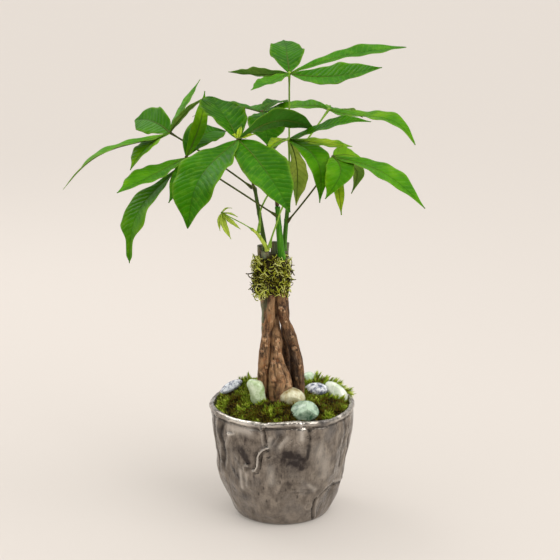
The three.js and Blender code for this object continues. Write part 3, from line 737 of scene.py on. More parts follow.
# The pebbles
# Seven tumbled and polished stones pressed into the moss: jade greens, a honey calcite, a milky
# quartz and two grey mottled ones. Each is an egg with soft flats, and has its own clouding.
FLAT_WEAR = 0.82
WAISTED = "pebble_pale_tall"
# Each stone is ((x, y, lift above the moss, length, width, thickness, turn, tilt), its slot, its dark
# and light tones, the size of its clouds in mm, and how strongly they stand out)
PEBBLES = {
    "pebble_grey_left": ((-51.5, 26, 7, 26, 13, 8, 25, -24), "pebble_grey", ("#5a637c", "#dfe4ea"), 3, 6.0),
    "pebble_pale_tall": ((-24, -20, 9.5, 18, 14, 26, 0, 0), "pebble_pale", ("#9dba7a", "#e2efd0"), 8, 3.6),
    "pebble_honey": ((9.6, -21, 4.5, 26, 20, 18, 0, 10), "pebble_honey", ("#a8955f", "#e0dfc0"), 8, 3.8),
    "pebble_green": ((22, -45, 3.5, 28, 22, 20, 0, 0), "pebble_green", ("#4c7256", "#b6ceb4"), 8, 5.0),
    "pebble_grey_right": ((33.2, 12, 4, 21, 17, 13, 0, 0), "pebble_grey", ("#4d5672", "#e9ebf0"), 3.4, 6.5),
    "pebble_milky": (
        (52.5, 12.5, 5, 28, 15.5, 15, -37, 28), "pebble_milky", ("#aebf98", "#eef1e6"), 10, 2.6,
    ),
    "pebble_pale_back": ((26.8, 46, 3.5, 15, 14, 14, 0, 0), "pebble_pale", ("#93b583", "#dcead4"), 7, 2.6),
}
# Soft flats worn on the stones: (direction, how far out from the middle the flat is, as a share).
# FLAT_WEAR is how much of the stone beyond a flat is gone.
FLATS = {
    "pebble_pale_tall": [((0.2, 0, 1), 0.9), ((1, -0.1, 0.9), 0.92), ((0, -1, 0.1), 0.88)],
    "pebble_honey": [
        ((-0.75, -0.3, 0.75), 0.84), ((1, -0.3, 0.35), 0.86), ((0.2, -1, -0.2), 0.85), ((0.1, 0, 1), 0.86),
    ],
    "pebble_green": [
        ((-0.7, -0.45, 0.7), 0.6), ((0.8, -0.25, 0.6), 0.64), ((0.1, -1, -0.25), 0.74), ((0, 0, -1), 0.8),
    ],
    "pebble_grey_right": [((0, -0.7, 0.8), 0.85), ((-1, -0.3, 0.3), 0.9)],
    "pebble_milky": [((0, -0.8, 0.6), 0.86), ((1, 0, 0.3), 0.92)],
    "pebble_pale_back": [((-1, -0.6, 0.3), 0.84), ((0.7, -0.5, 0.8), 0.82)],
    "pebble_grey_left": [((0, -0.6, 0.9), 0.66), ((0, 0.3, -1), 0.6)],
}

for seed, (name, (size, slot, tones, patch, contrast)) in enumerate(PEBBLES.items(), 1):
    bpy.ops.object.select_all(action="DESELECT")
    bpy.ops.mesh.primitive_ico_sphere_add(subdivisions=5, radius=1)
    pebble = bpy.context.object
    pebble.name = f"{name}_stone"
    x0, y0, lift, long, wide, thick, spin, tilt = size
    p = points_of(pebble)
    worn = 1.02 + 0.05 * np.sin(2.3 * p[:, 0] + seed) + 0.04 * np.sin(3.1 * p[:, 1] - 2 * seed)
    worn = worn + 0.05 * np.sin(2.7 * p[:, 2] + 3 * seed) + 0.012 * lumps(p, 0.25, seed)
    p = p * worn[:, None]
    for direction, share in FLATS[name]:
        outward = np.array(direction) / np.linalg.norm(direction)
        beyond = np.maximum(0, p @ outward - share)
        p = p - np.outer(beyond * FLAT_WEAR, outward)
    if name == WAISTED:
        # This one leans to the left too
        p[:, 0] *= 0.92 - 0.1 * hump(p[:, 2], 0.3) + 0.2 * smooth(0.25, 0.8, np.abs(p[:, 2]))
        p[:, 0] -= 0.26 * p[:, 2]
    p = p * (long / 2, wide / 2, thick / 2)
    p = p @ turned(math.radians(tilt), math.radians(spin), 0, 1).T
    move_points(pebble, p + (x0, y0, float(moss_height(x0, y0)) + lift))
    smooth_faces(pebble)

    stone, tree, shader, where = finish(f"{name}_polish")
    cloud, _ = mottled(tree, where, patch, contrast, 0.55, *tones)
    warp = add(tree, "ShaderNodeTexNoise", {"Vector": where, "Scale": 0.12, "Detail": 3.0}).outputs[1]
    bend = {0: warp, 1: (14, 14, 14), 2: where}
    bent = add(tree, "ShaderNodeVectorMath", bend, operation="MULTIPLY_ADD").outputs[0]
    wave = {"Vector": bent, "Scale": 0.035, "Distortion": 4.0, "Detail": 2.0}
    vein = calc(tree, "POWER", add(tree, "ShaderNodeTexWave", wave).outputs[1], 9.0)
    base = overlay(tree, cloud, vein, 0.55, tones[1])
    feed(tree, shader, {"Base Color": base, "Roughness": 0.24, "Coat Weight": 0.5, "Coat Roughness": 0.08})
    pebble.data.materials.append(stone)
    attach(pebble, "root")
    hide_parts(name)


# The trunks
# Five young trunks, planted close and trained round each other, and cut off square just above the
# moss collar. The bark is thin and brown with lengthwise wrinkles, and knobbly tan scars mark
# where old leaves fell.
TRUNK_FOOT = 84
TRUNK_COLUMNS, TRUNK_RINGS = 60, 190
# A trunk is its path from the cut top to the soil, its radius at the top and at the foot, how far the
# foot flares out, and its painted light: how much lighter tan its bark is where it is lit, or below zero
# how much painted shade darkens it
TRUNKS = {
    "trunk_left_back": (
        [(-20, 6, 266.5), (-17.2, 7, 218), (-15.5, 7.5, 200), (-15, 8, 180), (-13, 9, 157), (-12, 10, 130),
         (-12, 10, TRUNK_FOOT)], 4.4, 6.0, 0.0, 0.0,
    ),
    "trunk_left_front": (
        [(-16.4, -6, 263.5), (-15.8, -6.2, 254), (-10.7, -8, 223), (-10.6, -9, 211), (-11.8, -9, 198),
         (-15.2, -9, 183), (-17.3, -9, 162), (-18.6, -9, 143), (-19, -9, TRUNK_FOOT)], 3.7, 6.0, 0.0, 0.35,
    ),
    "trunk_centre": (
        [(-7.6, 3, 270.5), (-7.5, 3, 223), (-7.6, -1, 199), (-6, -4.5, 183), (-5.3, -7.5, 171),
         (-5.4, -10, 158), (-3.6, -12.5, 146), (-1.8, -14, 131), (-1.8, -14, TRUNK_FOOT)],
        3.5, 7.0, 4.6, 0.4,
    ),
    "trunk_right_front": (
        [(0.5, -5.5, 257), (-1.5, -8, 223), (-0.8, -9, 211), (1.2, -9, 199), (6.8, -8.5, 183),
         (12.7, -7, 161), (14.3, -5, 145), (15, -3, 130), (15, -3, TRUNK_FOOT)], 4.3, 7.2, 0.0, -0.24,
    ),
    "trunk_right_back": (
        [(3, 5, 269), (1.7, 5, 217), (2.2, 5.5, 199), (3, 8, 178), (3.5, 10, 147), (5, 10, 130),
         (5, 10, TRUNK_FOOT)], 3.8, 5.6, 0.0, -0.45,
    ),
}
# Leaf scars: (height in mm, degrees round, size in mm)
SCARS = {
    "trunk_left_back": [(212, 235, 2.0), (188, 220, 2.2), (150, 120, 2.6)],
    "trunk_left_front": [
        (178, 255, 2.6), (166, 238, 2.2), (172, 285, 1.6), (196, 292, 1.5), (144, 250, 2.0),
        (150, 305, 1.8), (208, 250, 1.4), (185, 60, 2.6),
    ],
    "trunk_centre": [
        (175, 285, 2.6), (168, 262, 1.8), (155, 238, 3.0), (151, 285, 2.0), (134, 318, 2.4),
        (140, 235, 2.2), (163, 300, 1.6), (170, 90, 2.6),
    ],
    "trunk_right_front": [
        (209, 262, 2.4), (206, 300, 1.6), (169, 275, 2.7), (181, 290, 1.6), (151, 300, 2.0),
        (139, 262, 2.0), (196, 285, 1.5), (160, 60, 2.6),
    ],
    "trunk_right_back": [(214, 320, 1.8), (190, 10, 2.2), (165, 80, 2.4), (140, 60, 2.0)],
}


def along(path, count):
    """Points at even lengths along the smooth curve through a path, with directions and two sides."""
    p = np.array(path, dtype=float)
    p = np.vstack([2 * p[0] - p[1], p, 2 * p[-1] - p[-2]])
    knots = np.concatenate([[0], np.cumsum(np.sqrt(np.linalg.norm(np.diff(p, axis=0), axis=1)))])
    curve = []
    for k in range(1, len(p) - 2):
        k0, k1, k2, k3 = knots[k - 1 : k + 3]
        t = np.linspace(k1, k2, 60, endpoint=k == len(p) - 3)[:, None]
        a = (k1 - t) / (k1 - k0) * p[k - 1] + (t - k0) / (k1 - k0) * p[k]
        b = (k2 - t) / (k2 - k1) * p[k] + (t - k1) / (k2 - k1) * p[k + 1]
        c = (k3 - t) / (k3 - k2) * p[k + 1] + (t - k2) / (k3 - k2) * p[k + 2]
        d = (k2 - t) / (k2 - k0) * a + (t - k0) / (k2 - k0) * b
        e = (k3 - t) / (k3 - k1) * b + (t - k1) / (k3 - k1) * c
        curve.append((k2 - t) / (k2 - k1) * d + (t - k1) / (k2 - k1) * e)
    curve = np.vstack(curve)
    run = np.concatenate([[0], np.cumsum(np.linalg.norm(np.diff(curve, axis=0), axis=1))])
    even = np.linspace(0, run[-1], count)
    middle = np.column_stack([np.interp(even, run, curve[:, i]) for i in range(3)])
    ahead = np.gradient(middle, axis=0)
    ahead /= np.linalg.norm(ahead, axis=1)[:, None]
    across = np.empty_like(ahead)
    start = np.cross(ahead[0], np.eye(3)[np.argmin(np.abs(ahead[0]))])
    across[0] = np.cross(ahead[0], start / np.linalg.norm(start))
    for i in range(1, count):
        side = across[i - 1] - ahead[i] * (across[i - 1] @ ahead[i])
        across[i] = side / np.linalg.norm(side)
    return middle, ahead, across, np.cross(ahead, across)


def grow_limb(name, path, around, rings, girth):
    """A round limb along a path.

    girth gives the radius at every vertex, from its share of the way along, the middle of its ring, the
    direction outward from there, and the angle round it.
    """
    limb = ringed_cylinder(name, around, rings)
    k, angle, out = rings_of(points_of(limb), rings)
    middle, ahead, across, up = along(path, rings)
    outward = across[k] * np.cos(angle)[:, None] + up[k] * np.sin(angle)[:, None]
    radius = girth(k / (rings - 1), middle[k], outward, angle) * out
    move_points(limb, middle[k] + outward * radius[:, None])
    smooth_faces(limb)
    return limb


# How dark the painted shade and cracks may get, from 0 to 1
DARKEST = 0.92
bark, tree, shader, where = finish("bark")
fibres = drawn_out(tree, where, 0.14)
wood, wood_share = mottled(tree, fibres, 1.5, 6.0, 0.7, "#24140c", "#b08960")
cloud, _ = mottled(tree, where, 8, 7, 0.62, "#3f251a", "#b5855a")
base = blend_colours(tree, 0.3, cloud, wood)
base = overlay(tree, base, calc(tree, "SUBTRACT", 1.0, wood_share), 0.6, "#2a180f")
base = overlay(tree, base, past(tree, clouds(tree, where, 0.11, 4.0, 0.7), 0.55, 8.0), 0.55, "#a0612f")
base = overlay(tree, base, past(tree, clouds(tree, fibres, 0.38, 3.0), 0.57, 8.0), 0.6, "#cda988")
# Painted light: the lit trunks are laid lighter tan, over knobbly tan patches of the bark's own
base = overlay(tree, base, read_mark(tree, "lit_tan_or_shade"), 0.5, "#c39c72")
base = blend_colours(tree, read_mark(tree, "weathered"), base, colour("#8a9678"))
scar_tones = colour_ramp(tree, clouds(tree, where, 0.9, 3.0, 0.7), [(0.38, "#a85c30"), (0.62, "#ecd0a4")])
base = blend_colours(tree, read_mark(tree, "scar"), base, scar_tones)
# Painted shade, with the bark's own dark cracks: near black where the crevice mark is
base = blend_colours(tree, read_mark(tree, "crevice_shade"), base, colour("#140c08"))
feed(tree, shader, {"Base Color": base, "Roughness": 0.62, "Specular IOR Level": 0.25})
raise_surface(tree, shader, clouds(tree, fibres, 1.3, 4.0, 0.7), 0.9, 0.0009)

for seed, (name, (path, top, foot_radius, flare, lit_tan_or_shade)) in enumerate(TRUNKS.items(), 1):
    marks = {}

    def bark_girth(t, middles, outward, angle):
        """The radius of a trunk; it also leaves the marks that its material reads."""
        z = middles[:, 2]
        swell = 0.35 * np.sin(t * 31 + path[0][0]) * (1 - 0.4 * t)
        spread = flare * smooth(0.55, 0.75, t)
        # The root ridges and the grooves between them wind a little
        wound = angle + 0.16 * np.sin(z / 7) + 0.1 * np.sin(z / 3.1 + 1)
        lobes = spread * 0.62 * (np.abs(np.cos(3 * wound)) - 0.52)
        plain = top + (foot_radius - top) * smooth(0.1, 0.95, t) + swell + spread + lobes
        bearing = np.degrees(np.arctan2(outward[:, 1], outward[:, 0])) % 360
        upright = np.column_stack([outward[:, 0] * 6, outward[:, 1] * 6, z * 0.2])
        ridges = lumps(upright, 3.0, seed)
        fine = lumps(upright * (1, 1, 1.4), 1.3, seed + 9)
        cracks = hump(ridges, 0.07) + 0.4 * hump(fine, 0.09)
        groove = hump(np.cos(3 * wound), 0.2) * np.clip(spread / 2, 0, 1)
        surface = middles + outward * plain[:, None]
        knobs = lumps(surface, 8, seed + 20)
        rough = lumps(surface, 1.7, seed + 3)
        raised, scar, rim = np.zeros(len(t)), np.zeros(len(t)), np.zeros(len(t))
        for height, degrees, size in SCARS[name]:
            round_about = np.radians((bearing - degrees + 180) % 360 - 180) * plain
            away = np.hypot(round_about / 1.1, (z - height) / 0.9) / size + 0.3 * rough
            raised += 0.75 * smooth(1.25, 0.7, away) - 0.35 * smooth(0.5, 0.1, away)
            scar = np.maximum(scar, smooth(1.0, 0.65, away))
            rim = np.maximum(rim, hump(away - 1.12, 0.16))
        grey_from = 172 if name == "trunk_left_back" else 240
        weathered = 0.9 * smooth(grey_from, grey_from + 12, z) * np.clip(0.75 + 0.7 * ridges, 0, 1)
        # Painted shade, together with the bark's own dark cracks: darker in the cracks, at the scar rims,
        # in the grooves between root ridges and at the cut top
        dark = 0.32 * cracks * (1 - 0.7 * scar) + 0.75 * rim + (0.55 + 0.4 * knobs) * groove
        # A trunk whose light is below zero is darkened all over, as painted shade
        dark = dark + 0.8 * smooth(0.012, 0.004, t) + max(0, -lit_tan_or_shade)
        dark = np.clip(dark, 0, DARKEST) * (1 - 0.6 * weathered) * (1 - 0.7 * scar)
        if name == "trunk_right_front":
            # Painted shadow: its left side is darker low down, where the centre trunk shades it
            painted_shadow = smooth(186, 168, z) * smooth(170, 200, bearing) * smooth(300, 262, bearing)
            dark = np.clip(dark + 0.5 * painted_shadow, 0, DARKEST)
        marks["scar"] = scar * (0.75 + 0.5 * fine)
        marks["crevice_shade"] = dark
        marks["lit_tan_or_shade"] = lit_tan_or_shade + 1.3 * knobs + 0.6 * ridges
        marks["weathered"] = weathered
        bumps = 0.45 * ridges + 0.25 * fine - 0.28 * np.minimum(1, cracks) + 0.35 * knobs - 0.5 * groove
        return plain + bumps * smooth(0, 0.06, t) + raised * 0.8

    trunk = grow_limb(f"{name}_bark", path, TRUNK_COLUMNS, TRUNK_RINGS, bark_girth)
    for mark, values in marks.items():
        mark_points(trunk, mark, np.clip(values, 0, 1))
    trunk.data.materials.append(bark)
    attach(trunk, "root")
    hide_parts(name)


# The twine
# Two turns of jute hold the tops of the trunks together. They are buried in the moss collar, so the
# solid's own shape is kept.
jute, tree, shader, where = finish("jute")
wave = {"Vector": where, "Scale": 0.6, "Distortion": 1.5}
twist = add(tree, "ShaderNodeTexWave", wave, bands_direction="DIAGONAL").outputs[1]
base = blend_colours(tree, twist, colour("#6d552f"), colour("#b39766"))
feed(tree, shader, {"Base Color": base, "Roughness": 0.9})
raise_surface(tree, shader, twist, 0.7, 0.0004)
twine_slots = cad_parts["twine"].data.materials
twine_slots.clear()
twine_slots.append(jute)


# The moss collar
# A wad of dried, curled sheet moss wrapped round the trunk tops to hide their tie. It is a ragged
# cushion with curls and hooks of moss standing out all round, some brown, most olive to lime.
COLLAR_X, COLLAR_Y, COLLAR_BOTTOM, COLLAR_TOP = -10, -1, 220, 257.5
COLLAR_WIDE, COLLAR_DEEP = 17.2, 15.2
CURL_COUNT = 1650
# How far out the wad reaches, and where the curls are rooted, as a share
WAD_REACH, CURL_ROOTS = 0.87, 0.84


def collar_place(turn, up, share):
    """A point of the collar: its angle, its height from 0 to 1, and how far out it is from 0 to 1."""
    height = COLLAR_BOTTOM + (COLLAR_TOP - COLLAR_BOTTOM) * up
    bulge = 1 - 0.1 * np.abs(2 * up - 1) ** 2
    bulge = bulge + 0.05 * np.sin(5 * turn + height / 5) + 0.04 * np.sin(3 * turn - height / 3)
    cos, sin = np.cos(turn), np.sin(turn)
    x = COLLAR_X + share * bulge * COLLAR_WIDE * np.sign(cos) * np.abs(cos) ** 0.75
    y = COLLAR_Y + share * bulge * COLLAR_DEEP * np.sign(sin) * np.abs(sin) ** 0.75
    return np.stack([x, y, height + 1.6 * np.sin(4 * turn + 1) * np.abs(2 * up - 1) ** 6], axis=-1)


wad = ringed_cylinder("collar_wad", 90, 60)
raw = points_of(wad)
turn = np.arctan2(raw[:, 1], raw[:, 0])
out = np.hypot(raw[:, 0], raw[:, 1])
p = collar_place(turn, raw[:, 2] + 0.5, out * WAD_REACH)
clumps = lumps(p, 4.2, 3.0)
p[:, :2] += (1.3 * clumps * out)[:, None] * np.column_stack([np.cos(turn), np.sin(turn)])
move_points(wad, p)
smooth_faces(wad)
mark_points(wad, "tone", np.clip(0.1 + 0.2 * clumps, 0, 1))


def moss_curl(sweep, wobble):
    """A curl of moss 1 mm long before it is sized: a thin three-sided strand on a bent line."""
    curl = ringed_cylinder("moss_curl", 3, 8)
    points = points_of(curl)
    t = points[:, 2] + 0.5
    bend = sweep * t**1.3
    girth = 0.068 * (1 - 0.5 * t)
    line_x = (1 - np.cos(bend)) / sweep
    line_z = np.sin(bend) / sweep
    shaped = np.column_stack([
        line_x + points[:, 0] * girth * np.cos(bend),
        wobble * np.sin(5 * t) + points[:, 1] * girth * 1.3,
        line_z - points[:, 0] * girth * np.sin(bend),
    ])
    curl.data.vertices.foreach_set("co", shaped.ravel())
    return template(curl)


curls = [
    moss_curl(1.6, 0.08), moss_curl(2.8, -0.07), moss_curl(4.2, 0.1), moss_curl(-2.2, 0.12),
    moss_curl(3.5, -0.12),
]
draw = random.Random(23)
places = []
for i in range(CURL_COUNT):
    turn_at = draw.uniform(0, 2 * math.pi)
    up_at = draw.uniform(0.02, 0.98) ** 0.9
    root = collar_place(turn_at, up_at, CURL_ROOTS)
    # Hooks stand out furthest at the left, low down
    leftward = max(0.0, -math.cos(turn_at))
    wild = draw.random() < 0.05 + 0.22 * leftward * (1.1 - up_at)
    lean = draw.uniform(0.7, 2.3) if not wild else draw.uniform(1.2, 1.9)
    bearing = turn_at + draw.uniform(-1.4, 1.4) * (0.5 if wild else 1.0)
    long = draw.uniform(5.5, 9.5) if not wild else draw.uniform(9, 13)
    if up_at > 0.9:
        lean, long = max(lean, 1.2), long * 0.7
    lively = noise.noise(Vector(root) / 7)
    tone = min(1, max(0, 0.5 + 1.0 * lively + 0.52 * draw.uniform(-1, 1) - (0.2 if wild else 0)))
    curl = draw.randrange(len(curls))
    places.append((curl, turned(lean, bearing, draw.uniform(0, 6.3), long), root, tone))
curled = scatter("collar_curls", curls, places, 0.5)

collar_moss, tree, shader, where = finish("collar_moss")
collar_stops = [
    (0, "#1f1706"), (0.22, "#453a0c"), (0.42, "#7d7a16"), (0.6, "#a4ac2a"), (0.8, "#d2d860"),
    (1, "#e2e492"),
]
base = colour_ramp(tree, read_mark(tree, "tone"), collar_stops)
feed(tree, shader, {"Base Color": base, "Roughness": 0.7, "Specular IOR Level": 0.2})
for piece in (wad, curled):
    piece.data.materials.append(collar_moss)
    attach(piece, "root")
    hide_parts("moss_collar")


# The green shoots
# Each year's growth springs from beside a cut trunk top: smooth green stems with faint lengthwise
# lines, a swollen foot and a slight joint where each leaf stalk leaves.
SHOOT_COLUMNS, SHOOT_RINGS = 28, 60
# A shoot is its path, its radius at the foot and at the tip, its two greens, and its slot
SHOOTS = {
    "shoot_left": (
        [(-16, -4.5, 259), (-17, -4, 270), (-19.6, -3.5, 286), (-22.8, -2, 304), (-26.2, 0, 323.5)],
        2.4, 1.6, ("#2c3d18", "#55732a"), "stem_green",
    ),
    "shoot_young": (
        [(-14, -9.6, 264.5), (-15.2, -10, 268), (-18.3, -11, 273.2), (-23.4, -12.5, 281.2),
         (-29, -14.2, 286.5)],
        2.1, 1.25, ("#93b22a", "#d6e566"), "young_green",
    ),
    "shoot_middle": (
        [(-0.3, -8, 255), (-1.2, -8, 265), (-3.1, -7, 284), (-4.1, -5, 298), (-4.6, -4, 306)],
        3.7, 2.2, ("#1a560a", "#5ea224"), "stem_green",
    ),
    "shoot_right": (
        [(1.8, -2, 263), (2.3, -1.2, 272), (3.6, -0.5, 288), (5.1, 0.6, 305), (5.4, 1, 310)],
        2.4, 1.8, ("#2a5612", "#5c8f2e"), "stem_green",
    ),
}


def stem_finish(name, dark, light):
    """Smooth green stem skin: lengthwise streaks of two greens under a soft shine."""
    skin, tree, shader, where = finish(name)
    streaks, share = mottled(tree, drawn_out(tree, where, 0.08), 1.6, 3, 0.5, dark, light)
    feed(tree, shader, {"Base Color": streaks, "Roughness": 0.42, "Specular IOR Level": 0.12})
    raise_surface(tree, shader, share, 0.35, 0.0004)
    return skin

for name, (path, base_radius, tip_radius, (dark, light), slot) in SHOOTS.items():

    def stem_girth(t, middles, outward, angle):
        swell = 0.5 * hump(t, 0.08) + (0.3 * hump(t - 0.62, 0.025) + 0.35 * hump(t - 0.97, 0.03))
        return base_radius + (tip_radius - base_radius) * t + swell + 0.06 * np.cos(7 * angle)

    shoot = grow_limb(f"{name}_stem", path, SHOOT_COLUMNS, SHOOT_RINGS, stem_girth)
    shoot.data.materials.append(stem_finish(f"{name}_skin", dark, light))
    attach(shoot, "root")
    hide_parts(name)


# The leaves
# Each leaf is a thin stalk with a knob at its end, from which long pointed leaflets spread like the
# fingers of a hand. A leaflet is a waxy blade that arches and folds a little along its midrib, and
# is quilted between side veins; underneath it is paler, and the midrib stands out as a rib.
STALK_COLUMNS, STALK_RINGS = 14, 50
RIB_COLUMNS, RIB_RINGS = 8, 30
KNOB_RADIUS = 1.75
YOUNG_SCALE = 0.62
# A leaf is its stalk's path, its stalk's kind, its leaflets, and one tone for each leaflet, from olive
# at 0 through dark green to lime at 1. A leaflet is (bearing, rise, length, width, arch, crest, roll,
# belly, twist, sweep, fullness, tail), in degrees and mm; the last five can be left out.
LEAVES = {
    "leaf_top": (
        [(5.3, 1, 308.5), (6.5, 9, 340), (6.5, 15, 380), (6.5, 10, 430)], "light",
        [(94.3, 20, 76, 34, 5, 0.45, 0), (153, -1.2, 65, 24, -1.5, 0.5, 25),
         (236, -9.5, 63, 24, 0, 0.55, 0), (25, 9.2, 127, 26, 5, 0.5, 14, 0.64, 0, 0, 0.6),
         (327, 5.8, 99, 30, -5, 0.45, 35, 0.52)],
        (0.34, 0.55, 0.58, 0.5, 0.46),
    ),
    "leaf_right_back": (
        [(-22.6, -12, 282), (-21.4, -9, 292), (-20.8, -7.5, 302), (-18, -2.5, 308.5), (-13.6, 5, 315.5),
         (22, 30, 362), (45, 45, 392)], "light",
        [(330.5, -17, 96, 29, 13.5, 0.68, 7, 0.5, 0, 0, 0.65), (143, -5, 86, 22, 4.5, 0.35, -18),
         (105, -5, 60, 18, 2, 0.5, 0),
         (50, -13, 56, 22, 3, 0.5, 0)], (0.68, 0.62, 0.76, 0.72),
    ),
    "leaf_centre": (
        [(-12.2, -12.6, 268), (-10.7, -13, 275.5), (-5.9, -13, 290), (-2.2, -13, 301.5), (1.6, -13, 311),
         (6, -11, 335), (6, -8, 371)], "light",
        [(327, 14, 90, 23, 5, 0.65, 22), (299, -42, 77, 25, 17, 0.55, 6, 0.46, 0, 6),
         (52, -80, 66, 24, 8, 0.45, 10, 0.55), (245, -6, 45, 17, 3, 0.5, 0), (140, -39, 40, 14, 4, 0.5, 0),
         (350, -5.5, 60, 22, -1, 0.6, 12, 0.6)], (0.5, 0.62, 0.95, 0.88, 0.5, 0.8),
    ),
    "leaf_right": (
        [(4.6, -0.5, 290.5), (17, -12, 308), (36, -28, 337), (46, -43, 359.2)], "dark",
        [(322, -20, 106, 28, 10.5, 0.52, 8, 0.5), (38, -58, 43, 20, 14, 0.6, 0, 0.46, 0, -4),
         (258, -40, 50, 27, 8, 0.5, 0, 0.46, 0, 11), (294, -70, 54, 11, 2, 0.5, 10),
         (30, -8, 33, 24, 3, 0.45, 25)], (0.62, 0.76, 0.66, 0.84, 0.8),
    ),
    "leaf_front": (
        [(-26.6, -2, 323), (-31, -14, 340), (-36, -34, 360), (-40, -50, 376)], "dark",
        [(235, -43, 102, 53, 14, 0.55, 0, 0.53, 0, -3.5, 0.75),
         (301, -30, 104, 42, 5, 0.5, 15, 0.46, 0, 1, 0.8),
         (120, 30, 67, 46, 2, 0.5, 5, 0.6, 0, -1.5, 0.6), (31, 2, 84, 30, 13, 0.5, -45)],
        (0.42, 0.36, 0.25, 0.26),
    ),
    "leaf_left_high": (
        [(-28.3, 1, 323), (-50, 6, 338), (-80, 14, 357), (-107, 20, 373)], "dark",
        [(124, 4, 70, 31, 5, 0.45, -50, 0.52, 0, 0, 0.6), (224, -17.6, 131, 24, 13, 0.62, 4, 0.42, 34),
         (238, -24, 68, 26, 5, 0.55, 12, 0.46, 0, -1.5), (64, 37, 75, 14, 0, 0.45, -25, 0.46, 0, 0.8),
         (311, 35, 66, 11, 3, 0.5, 0)], (0.5, 0.68, 0.76, 0.62, 0.7),
    ),
    "leaf_left_low": (
        [(-4.6, -5.6, 297), (-19, -9.6, 307), (-30, -9.5, 314.5), (-62, -7, 335), (-90, -5, 353)], "dark",
        [(61, 60, 68, 14, 0, 0.45, 30, 0.46, 0, -4.5), (62, 12, 77, 33, 11, 0.4, 22),
         (229, -14, 91, 33, 0, 0.5, -5, 0.54), (233, -47, 119, 38, 18, 0.63, 8, 0.68, 8, -3, 0.9, 0.27),
         (257, -30, 66, 22, 6, 0.5, 0, 0.5, 0, 7)], (0.7, 0.44, 0.62, 0.66, 0.52),
    ),
    "leaf_back": (
        [(-4.7, -3.6, 306.5), (-6.6, 1, 316), (-9, 8, 330), (-15, 35, 362), (-20, 60, 388)], "purple",
        [(277, -24, 64, 37, 8, 0.5, 0, 0.6), (60, 3, 54, 20, 6, 0.5, 0), (340, -6, 38, 17, 3, 0.5, 0),
         (170, -5, 70, 26, 8, 0.5, 0), (120, -12, 66, 26, 8, 0.5, 0)], (0.4, 0.25, 0.3, 0.4, 0.5),
    ),
    "leaf_young": (
        [(-28.6, -14.1, 286.2), (-35.1, -16.5, 290.8), (-46, -25, 298.5), (-56, -35, 306)], "light",
        [(43, 12, 13, 3.5, 2, 0.5, 0), (321, -29, 26, 7, -1, 0.5, 0),
         (295, -44, 30, 6.5, 0, 0.5, 0, 0.46, 0, -2), (266, -42, 21, 3.5, 2, 0.5, 0, 0.46, 0, -1.5),
         (345, -12, 16, 6, 1, 0.5, 0)], (1.0, 0.95, 1.0, 0.9, 1.0),
    ),
}
# Young leaflets, still small, at the middle of a grown leaf
BUDS = {
    "leaf_front": [
        (75, 48, 15, 5, 1, 0.5, 0), (20, 14, 17, 6, 1, 0.5, 20), (140, 30, 11, 4, 1, 0.5, 0),
        (330, 10, 9, 4, 1, 0.5, 0),
    ],
}
BUD_TONE = 0.95
# What a leaflet has where its row ends early: belly, twist, sweep, fullness and tail
PLAIN_BLADE = [0.46, 0, 0, 0.9, 0]
# A blade's grid: the rows and columns of a young one; a grown one has a row each 1.6 mm
YOUNG_GRID = 26, 8
LEAST_ROWS, ROW_LENGTH, GROWN_COLUMNS = 34, 1.6, 20
# In mm: a blade's thickness, its least half width, and its rib's radius, grown and young
GROWN_SIZES = 0.34, 0.55, 0.95
YOUNG_SIZES = 0.28, 0.3, 0.5
BLADE_FOLD = math.radians(14)
VEIN_SPACING = 6.0

# The pattern of a blade, from mm across (X) and mm along (S): the midrib line, side veins that
# leave it at a slant and curve forwards, and the quilting between them
blade_pattern, given, result = effect(
    "blade_pattern",
    {"X": "Float", "S": "Float", "Spacing": "Float", "Vector": "Vector"},
    {"Midrib": "Float", "Veins": "Float", "Quilt": "Float"},
)


def step(operation, a, b, clamp=False):
    return calc(blade_pattern, operation, a, b, clamp)


off = step("ABSOLUTE", given["X"], 0.0)
wander = clouds(blade_pattern, given["Vector"], 0.15, 2.0)
forward = step("SUBTRACT", given["S"], step("MULTIPLY", step("POWER", off, 1.18), 0.42))
forward = step("ADD", forward, step("MULTIPLY", wander, 3.5))
half_gap = step("MULTIPLY", given["Spacing"], 0.5)
to_vein = step("DIVIDE", step("PINGPONG", forward, half_gap), half_gap, clamp=True)
vein_line = step("POWER", step("SUBTRACT", 1.0, to_vein), 7.0, clamp=True)
rib_line = step("SUBTRACT", 1.0, step("MULTIPLY", off, 1.25), clamp=True)
crinkle = clouds(blade_pattern, given["Vector"], 0.7, 2.0)
pillow = step("ADD", step("MULTIPLY", step("POWER", to_vein, 0.55), 0.8), step("MULTIPLY", crinkle, 0.2))
quilt = step("MULTIPLY", pillow, step("MULTIPLY", off, 0.5, clamp=True))
feed(blade_pattern, result, {"Midrib": rib_line, "Veins": vein_line, "Quilt": quilt})


